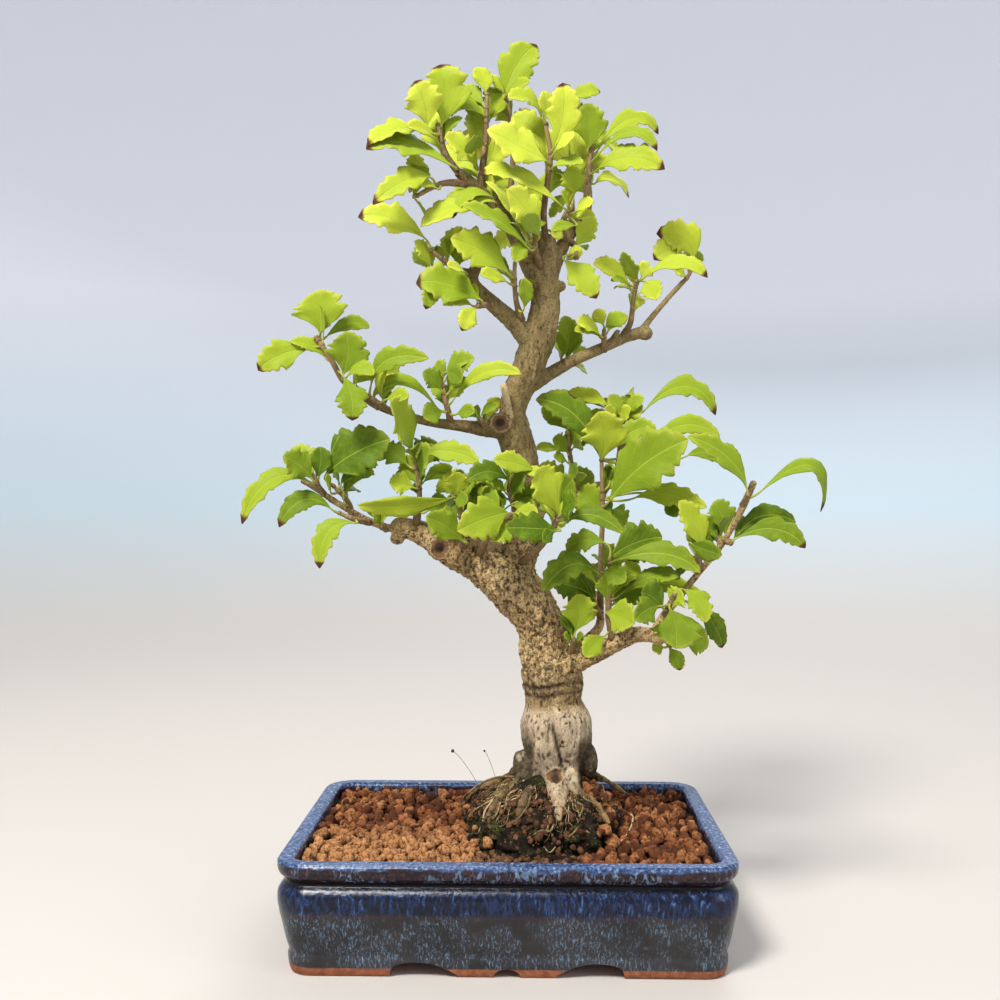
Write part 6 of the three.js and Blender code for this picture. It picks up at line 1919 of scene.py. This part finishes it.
def bark_foot(m, body, x, z):
    """Painted shade in dark brown on the foot's flanks, warm wood at its base, and some green."""
    apart = m.math("ABSOLUTE", m.minus(x, FOOT_MIDDLE))
    # Painted shade: the foot's flanks go dark brown away from its middle and low down.
    flank_shade = m.times(m.fade(apart, 0.0085, 0.0125), m.fade(z, 0.1, 0.088))
    flank_shade = m.times(flank_shade, m.fade(m.noise(150, 4), 0.25, 0.42))
    flank_shade_colour = m.mix(m.fade(m.noise(420, 3), 0.4, 0.6), (0.022, 0.016, 0.009), (0.095, 0.068, 0.03))
    body = m.mix(m.times(flank_shade, 0.95), body, flank_shade_colour)
    warm = m.times(m.fade(z, 0.074, 0.062), m.fade(m.noise(200, 4), 0.35, 0.6))
    body = m.mix(m.times(warm, 0.7), body, (0.38, 0.22, 0.09))
    green = m.times(m.fade(z, 0.1, 0.072), m.fade(m.noise(75, 4), 0.5, 0.66))
    body = m.mix(m.times(green, 0.35), body, (0.15, 0.14, 0.045))
    return body


def bark_scars(m, body, scar, grain):
    """Pale callus round each scar, dark dead wood in it."""
    scar = m.plus(scar, m.times(m.minus(grain, 0.5), 0.5))
    callus = m.fade(scar, 0.12, 0.32)
    body = m.mix(m.times(callus, 0.75), body, (0.5, 0.36, 0.19))
    body = m.mix(m.fade(scar, 0.3, 0.42), body, (0.19, 0.1, 0.05))
    body = m.mix(m.fade(scar, 0.55, 0.9), body, (0.05, 0.027, 0.017))
    return body


def bark_material():
    m = Shader("bark")
    dark, scar, _ = m.marks()
    x, _, z = m.axes()
    tall = m.stretch(1, 1, 0.32)
    broad = m.noise(28, 3)
    streak = m.noise(330, 5, 0.62, vector=tall)
    grain = m.noise(1100, 4, 0.65)
    low = m.times(m.fade(z, 0.11, 0.103), m.fade(broad, 0.25, 0.45))
    body = bark_tones(m, z, low, broad, streak)
    dots = m.times(m.fade(grain, 0.5, 0.36), m.minus(0.7, m.times(low, 0.25)))
    body = m.mix(dots, body, (0.055, 0.033, 0.015))
    speck = m.fade(m.cells(300, vector=m.stretch(1, 1, 0.55)), 0.22, 0.06)
    speck = m.times(speck, m.fade(m.noise(90, 2), 0.42, 0.58))
    crumbs = m.times(m.fade(m.noise(470, 6, 0.7), 0.49, 0.42), m.band(z, 0.116, 0.2, 0.012))
    crumbs = m.times(crumbs, m.fade(m.noise(45, 3), 0.38, 0.55))
    body = m.mix(m.math("MAXIMUM", speck, m.times(crumbs, 0.8)), body, PIT_AND_SHADE_COLOUR)
    # The dark mark: the bark's dark cracks and pits, with painted shade in its recesses.
    body = m.mix(m.times(dark, 0.92), body, PIT_AND_SHADE_COLOUR)
    body = bark_foot(m, body, x, z)
    body = bark_scars(m, body, scar, grain)
    m.set(Specular_IOR_Level=0.2)
    height = m.plus(m.times(streak, 0.6), m.times(grain, 0.5))
    height = m.minus(height, m.times(speck, 0.4))
    m.bump(height, 0.0011, 1.0)
    return m.finish(body, m.ramp(streak, (0.3, 0.92), (0.8, 0.72)))


def grain_material():
    m = Shader("clay_grains")
    tone, grit, _ = m.marks()
    x, y, _ = m.axes()
    rough = m.noise(700, 5, 0.7)
    body = m.ramp(
        tone, (0.0, (0.055, 0.018, 0.008)), (0.35, (0.15, 0.048, 0.018)),
        (0.7, (0.28, 0.1, 0.035)), (1.0, (0.42, 0.18, 0.07)),
    )
    # Grains at the front left are lighter tan: dust on them, and painted light on that side.
    left = m.mix(0.6, body, (0.6, 0.3, 0.12))
    front = m.fade(m.plus(y, m.times(m.noise(40, 2), 0.03)), 0.02, -0.025)
    body = m.mix(m.times(m.fade(x, 0.0, -0.025), front), body, left)
    dull = m.mix(0.65, body, (0.07, 0.045, 0.028))
    body = m.mix(grit, body, dull)
    body = m.mix(m.fade(rough, 0.55, 0.35), body, (0.05, 0.017, 0.008))
    body = m.mix(m.times(m.fade(rough, 0.6, 0.8), 0.35), body, (0.65, 0.36, 0.18))
    m.set(Specular_IOR_Level=0.15)
    m.bump(rough, 0.0007, 1.0)
    return m.finish(body, 0.92)


def mound_material():
    m = Shader("root_ball")
    clods = m.noise(240, 6, 0.7)
    body = m.ramp(
        clods, (0.35, (0.006, 0.0045, 0.003)), (0.54, (0.018, 0.012, 0.007)),
        (0.68, (0.055, 0.036, 0.019)), (0.82, (0.22, 0.14, 0.075)),
    )
    crumbs = m.times(m.fade(m.cells(430), 0.22, 0.08), m.fade(m.noise(130, 3), 0.42, 0.58))
    body = m.mix(m.times(crumbs, 0.8), body, (0.26, 0.16, 0.085))
    green = m.times(m.fade(m.noise(95, 5), 0.52, 0.64), m.fade(m.noise(900, 3), 0.4, 0.6))
    body = m.mix(m.times(green, 0.7), body, (0.08, 0.1, 0.02))
    m.set(Specular_IOR_Level=0.15)
    m.bump(clods, 0.0025, 1.0)
    return m.finish(body, 0.92)


def root_material():
    m = Shader("root")
    _, _, tone = m.marks()
    grain = m.noise(600, 4)
    body = m.ramp(tone, (0.0, (0.12, 0.08, 0.03)), (0.5, (0.3, 0.21, 0.09)), (1.0, (0.6, 0.46, 0.26)))
    body = m.mix(m.times(m.fade(grain, 0.5, 0.7), 0.5), body, (0.55, 0.43, 0.24))
    body = m.mix(m.fade(grain, 0.46, 0.34), body, (0.07, 0.045, 0.018))
    m.set(Specular_IOR_Level=0.25)
    m.bump(grain, 0.0004, 0.7)
    return m.finish(body, 0.75)


def moss_material():
    m = Shader("moss_strands")
    _, _, tone = m.marks()
    speckle = m.noise(800, 3)
    body = m.ramp(tone, (0.0, (0.04, 0.055, 0.012)), (0.6, (0.12, 0.15, 0.025)), (1.0, (0.32, 0.29, 0.09)))
    body = m.mix(m.fade(speckle, 0.5, 0.7), body, (0.24, 0.26, 0.06))
    m.set(Specular_IOR_Level=0.15)
    return m.finish(body, 0.85)


def plain_material(name, colour, roughness):
    m = Shader(name)
    grain = m.noise(900, 3)
    body = m.mix(m.fade(grain, 0.3, 0.8), colour, tuple(1.4 * c for c in colour))
    m.bump(grain, 0.0002, 0.5)
    return m.finish(body, roughness)


def glaze_bands(m, z, drift, spots, runs):
    """The glaze from the wall over the shoulder and groove to the spotted rim."""
    height = m.plus(z, drift)
    fine_runs = m.noise(1300, 4, 0.66, vector=m.stretch(1, 1, 0.2), distortion=0.9)
    clusters = m.noise(75, 4, 0.6)
    rim = m.ramp(
        spots, (0.32, (0.007, 0.013, 0.045)), (0.46, (0.025, 0.05, 0.135)),
        (0.58, (0.085, 0.14, 0.27)), (0.7, (0.36, 0.45, 0.58)),
    )
    side = m.mix(m.fade(spots, 0.55, 0.4), (0.01, 0.007, 0.011), (0.045, 0.018, 0.02))
    streaks = m.times(m.fade(runs, 0.5, 0.62), m.fade(clusters, 0.4, 0.55))
    side = m.mix(m.times(streaks, 0.8), side, (0.16, 0.26, 0.42))
    shoulder = m.mix(m.fade(runs, 0.44, 0.6), (0.005, 0.006, 0.014), (0.01, 0.024, 0.078))
    lit = m.times(m.fade(runs, 0.56, 0.72), m.fade(clusters, 0.36, 0.6))
    shoulder = m.mix(m.times(lit, 0.9), shoulder, (0.11, 0.2, 0.37))
    flecks = m.times(m.fade(fine_runs, 0.5, 0.68), m.fade(clusters, 0.36, 0.56))
    wall = m.mix(m.fade(m.noise(38, 4), 0.35, 0.65), (0.02, 0.018, 0.019), (0.036, 0.033, 0.035))
    wall = m.mix(m.times(flecks, 0.85), wall, (0.15, 0.25, 0.37))
    body = m.mix(m.fade(height, 0.0262, 0.031), wall, shoulder)
    line = m.band(m.plus(z, m.times(drift, 0.1)), 0.0277, 0.0284, 0.0005)
    body = m.mix(m.times(line, 0.35), body, (0.06, 0.02, 0.02))
    body = m.mix(m.fade(z, 0.0385, 0.0402), body, (0.006, 0.005, 0.008))
    body = m.mix(m.fade(z, 0.0418, 0.0432), body, side)
    body = m.mix(m.fade(height, 0.0478, 0.0492), body, rim)
    return body


def bare_clay(m, z, drift):
    """Where no glaze lies: under the floor and at the very foot."""
    normal = m.tree.nodes.new("ShaderNodeNewGeometry").outputs["Normal"]
    down = m.fade(m.axes(normal)[2], -0.35, -0.6)
    inner = m.fade(z, 0.0075, 0.0068)
    bare = m.times(down, inner)
    return m.math("MAXIMUM", bare, m.fade(m.plus(z, m.times(drift, 0.12)), 0.0044, 0.0036))


def glaze_material():
    m = Shader("glaze")
    _, _, z = m.axes()
    drift = m.times(m.minus(m.noise(70, 3), 0.5), 0.006)
    spots = m.noise(620, 5, 0.65)
    runs = m.noise(480, 6, 0.68, vector=m.stretch(1, 1, 0.3), distortion=1.0)
    body = glaze_bands(m, z, drift, spots, runs)
    clay = m.mix(m.fade(m.noise(300, 4), 0.35, 0.7), (0.2, 0.06, 0.028), (0.34, 0.12, 0.055))
    bare = bare_clay(m, z, drift)
    body = m.mix(bare, body, clay)
    m.set(Specular_IOR_Level=0.28)
    waves = m.plus(m.times(m.noise(90, 3), 0.6), m.times(runs, 0.25))
    m.bump(waves, 0.0011, 0.5)
    gloss = m.mix(bare, m.ramp(spots, (0.3, 0.13), (0.8, 0.24)), (0.85, 0.85, 0.85))
    return m.finish(body, gloss)


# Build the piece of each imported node
leaf, twig, bark = leaf_material(), twig_material(), bark_material()
grains, mound, root = grain_material(), mound_material(), root_material()
make_wood([bark])
make_stub([root])
make_pot([glaze_material()])
make_bed([mound])
make_mound([mound])
make_grains([grains])
make_grit([grains])
make_fine_roots([root, plain_material("sprout_head", (0.02, 0.015, 0.01), 0.6)])
make_moss([moss_material()])
shoot_draw = random.Random(5)
for shoot_name, shoot_entry in SHOOTS.items():
    make_shoot(shoot_name, shoot_entry, shoot_draw, [leaf, twig])
net = plain_material("drain_net", (0.012, 0.012, 0.013), 0.6)
for node_name in ("drain_screen_left", "drain_screen_right"):
    node_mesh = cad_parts[node_name].data
    node_mesh.materials.clear()
    node_mesh.materials.append(net)


# Floor, light and camera
STAGE_RADIUS = 3.2
STAGE_BEND = 2.2
STAGE_SIDES = 96
STAGE_STEPS = 24
# The floor's colour by height in metres, from the floor up into the wall
STAGE_SHADES = ((0.0, (0.53, 0.495, 0.46)), (0.2, (0.54, 0.64, 0.7)), (0.8, (0.88, 0.9, 0.97)))
# Lights: place and target in metres, size, power in watts, colour
LIGHTS = {
    "key": ((-0.6, -1.0, 1.6), (0, 0, 0.2), 0.5, 49, (1, 0.985, 0.95)),
    "fill": ((1.4, -0.9, 0.9), (0, 0, 0.2), 1.2, 7, (0.97, 0.99, 1)),
    "back": ((0.5, 1.5, 1.6), (0, 0, 0.25), 1.2, 20, (1, 1, 1)),
}
SKY_COLOUR = (0.95, 0.97, 1, 1)
SKY_STRENGTH = 0.43


def make_floor():
    """A round pale floor that bends up into a plain wall, so no edge shows from any side."""
    profile = [(0.4, 0), (STAGE_RADIUS - STAGE_BEND, 0)]
    for i in range(1, STAGE_STEPS + 1):
        angle = math.pi / 2 * i / STAGE_STEPS
        out = STAGE_RADIUS - STAGE_BEND * (1 - math.sin(angle))
        profile.append((out, STAGE_BEND * (1 - math.cos(angle))))
    points = [Vector((0, 0, 0))]
    faces = []
    for radius, z in profile:
        for i in range(STAGE_SIDES):
            angle = 2 * math.pi * i / STAGE_SIDES
            points.append(Vector((radius * math.cos(angle), radius * math.sin(angle), z)))
    for i in range(STAGE_SIDES):
        faces.append((0, 1 + i, 1 + (i + 1) % STAGE_SIDES))
    for row in range(len(profile) - 1):
        for i in range(STAGE_SIDES):
            a = 1 + row * STAGE_SIDES + i
            b = 1 + row * STAGE_SIDES + (i + 1) % STAGE_SIDES
            faces.append((a, a + STAGE_SIDES, b + STAGE_SIDES, b))
    mesh = bpy.data.meshes.new("floor")
    mesh.from_pydata([point[:] for point in points], [], faces)
    mesh.shade_smooth()
    floor = bpy.data.objects.new("floor", mesh)
    bpy.context.scene.collection.objects.link(floor)
    m = Shader("floor")
    m.set(Roughness=0.7, Specular_IOR_Level=0.1)
    shade = m.ramp(m.axes()[2], *STAGE_SHADES)
    mesh.materials.append(m.finish(shade))


def area_light(name, location, target, size, power, colour):
    data = bpy.data.lights.new(name, "AREA")
    data.shape, data.size, data.energy, data.color = "DISK", size, power, colour
    light = bpy.data.objects.new(name, data)
    light.location = location
    light.rotation_euler = (Vector(target) - Vector(location)).to_track_quat("-Z", "Y").to_euler()
    bpy.context.scene.collection.objects.link(light)


VIEW_TURN = math.radians(1.3)
FOCAL_PIXELS = 1074
SENSOR = 36


def make_camera():
    data = bpy.data.cameras.new("camera")
    data.sensor_width = SENSOR
    data.lens = FOCAL_PIXELS / 1000 * SENSOR
    data.clip_start, data.clip_end = 0.01, 100
    camera = bpy.data.objects.new("camera", data)
    turn = Vector((math.cos(VIEW_TURN), math.sin(VIEW_TURN), 0))
    ahead = Vector((-math.sin(VIEW_TURN), math.cos(VIEW_TURN), 0))
    eye = turn * EYE.x + ahead * EYE.y
    eye.z = EYE.z
    camera.location = (eye + SHIFT) * MM
    camera.rotation_euler = (math.pi / 2, 0, VIEW_TURN)
    bpy.context.scene.collection.objects.link(camera)
    bpy.context.scene.camera = camera


make_floor()
make_camera()
for light_name, light_row in LIGHTS.items():
    area_light(light_name, *light_row)
world = bpy.data.worlds.new("world")
world.use_nodes = True
world.node_tree.nodes["Background"].inputs["Color"].default_value = SKY_COLOUR
world.node_tree.nodes["Background"].inputs["Strength"].default_value = SKY_STRENGTH
bpy.context.scene.world = world
# The leaf greens lie outside what Blender's default view can show
bpy.context.scene.view_settings.view_transform = "Standard"
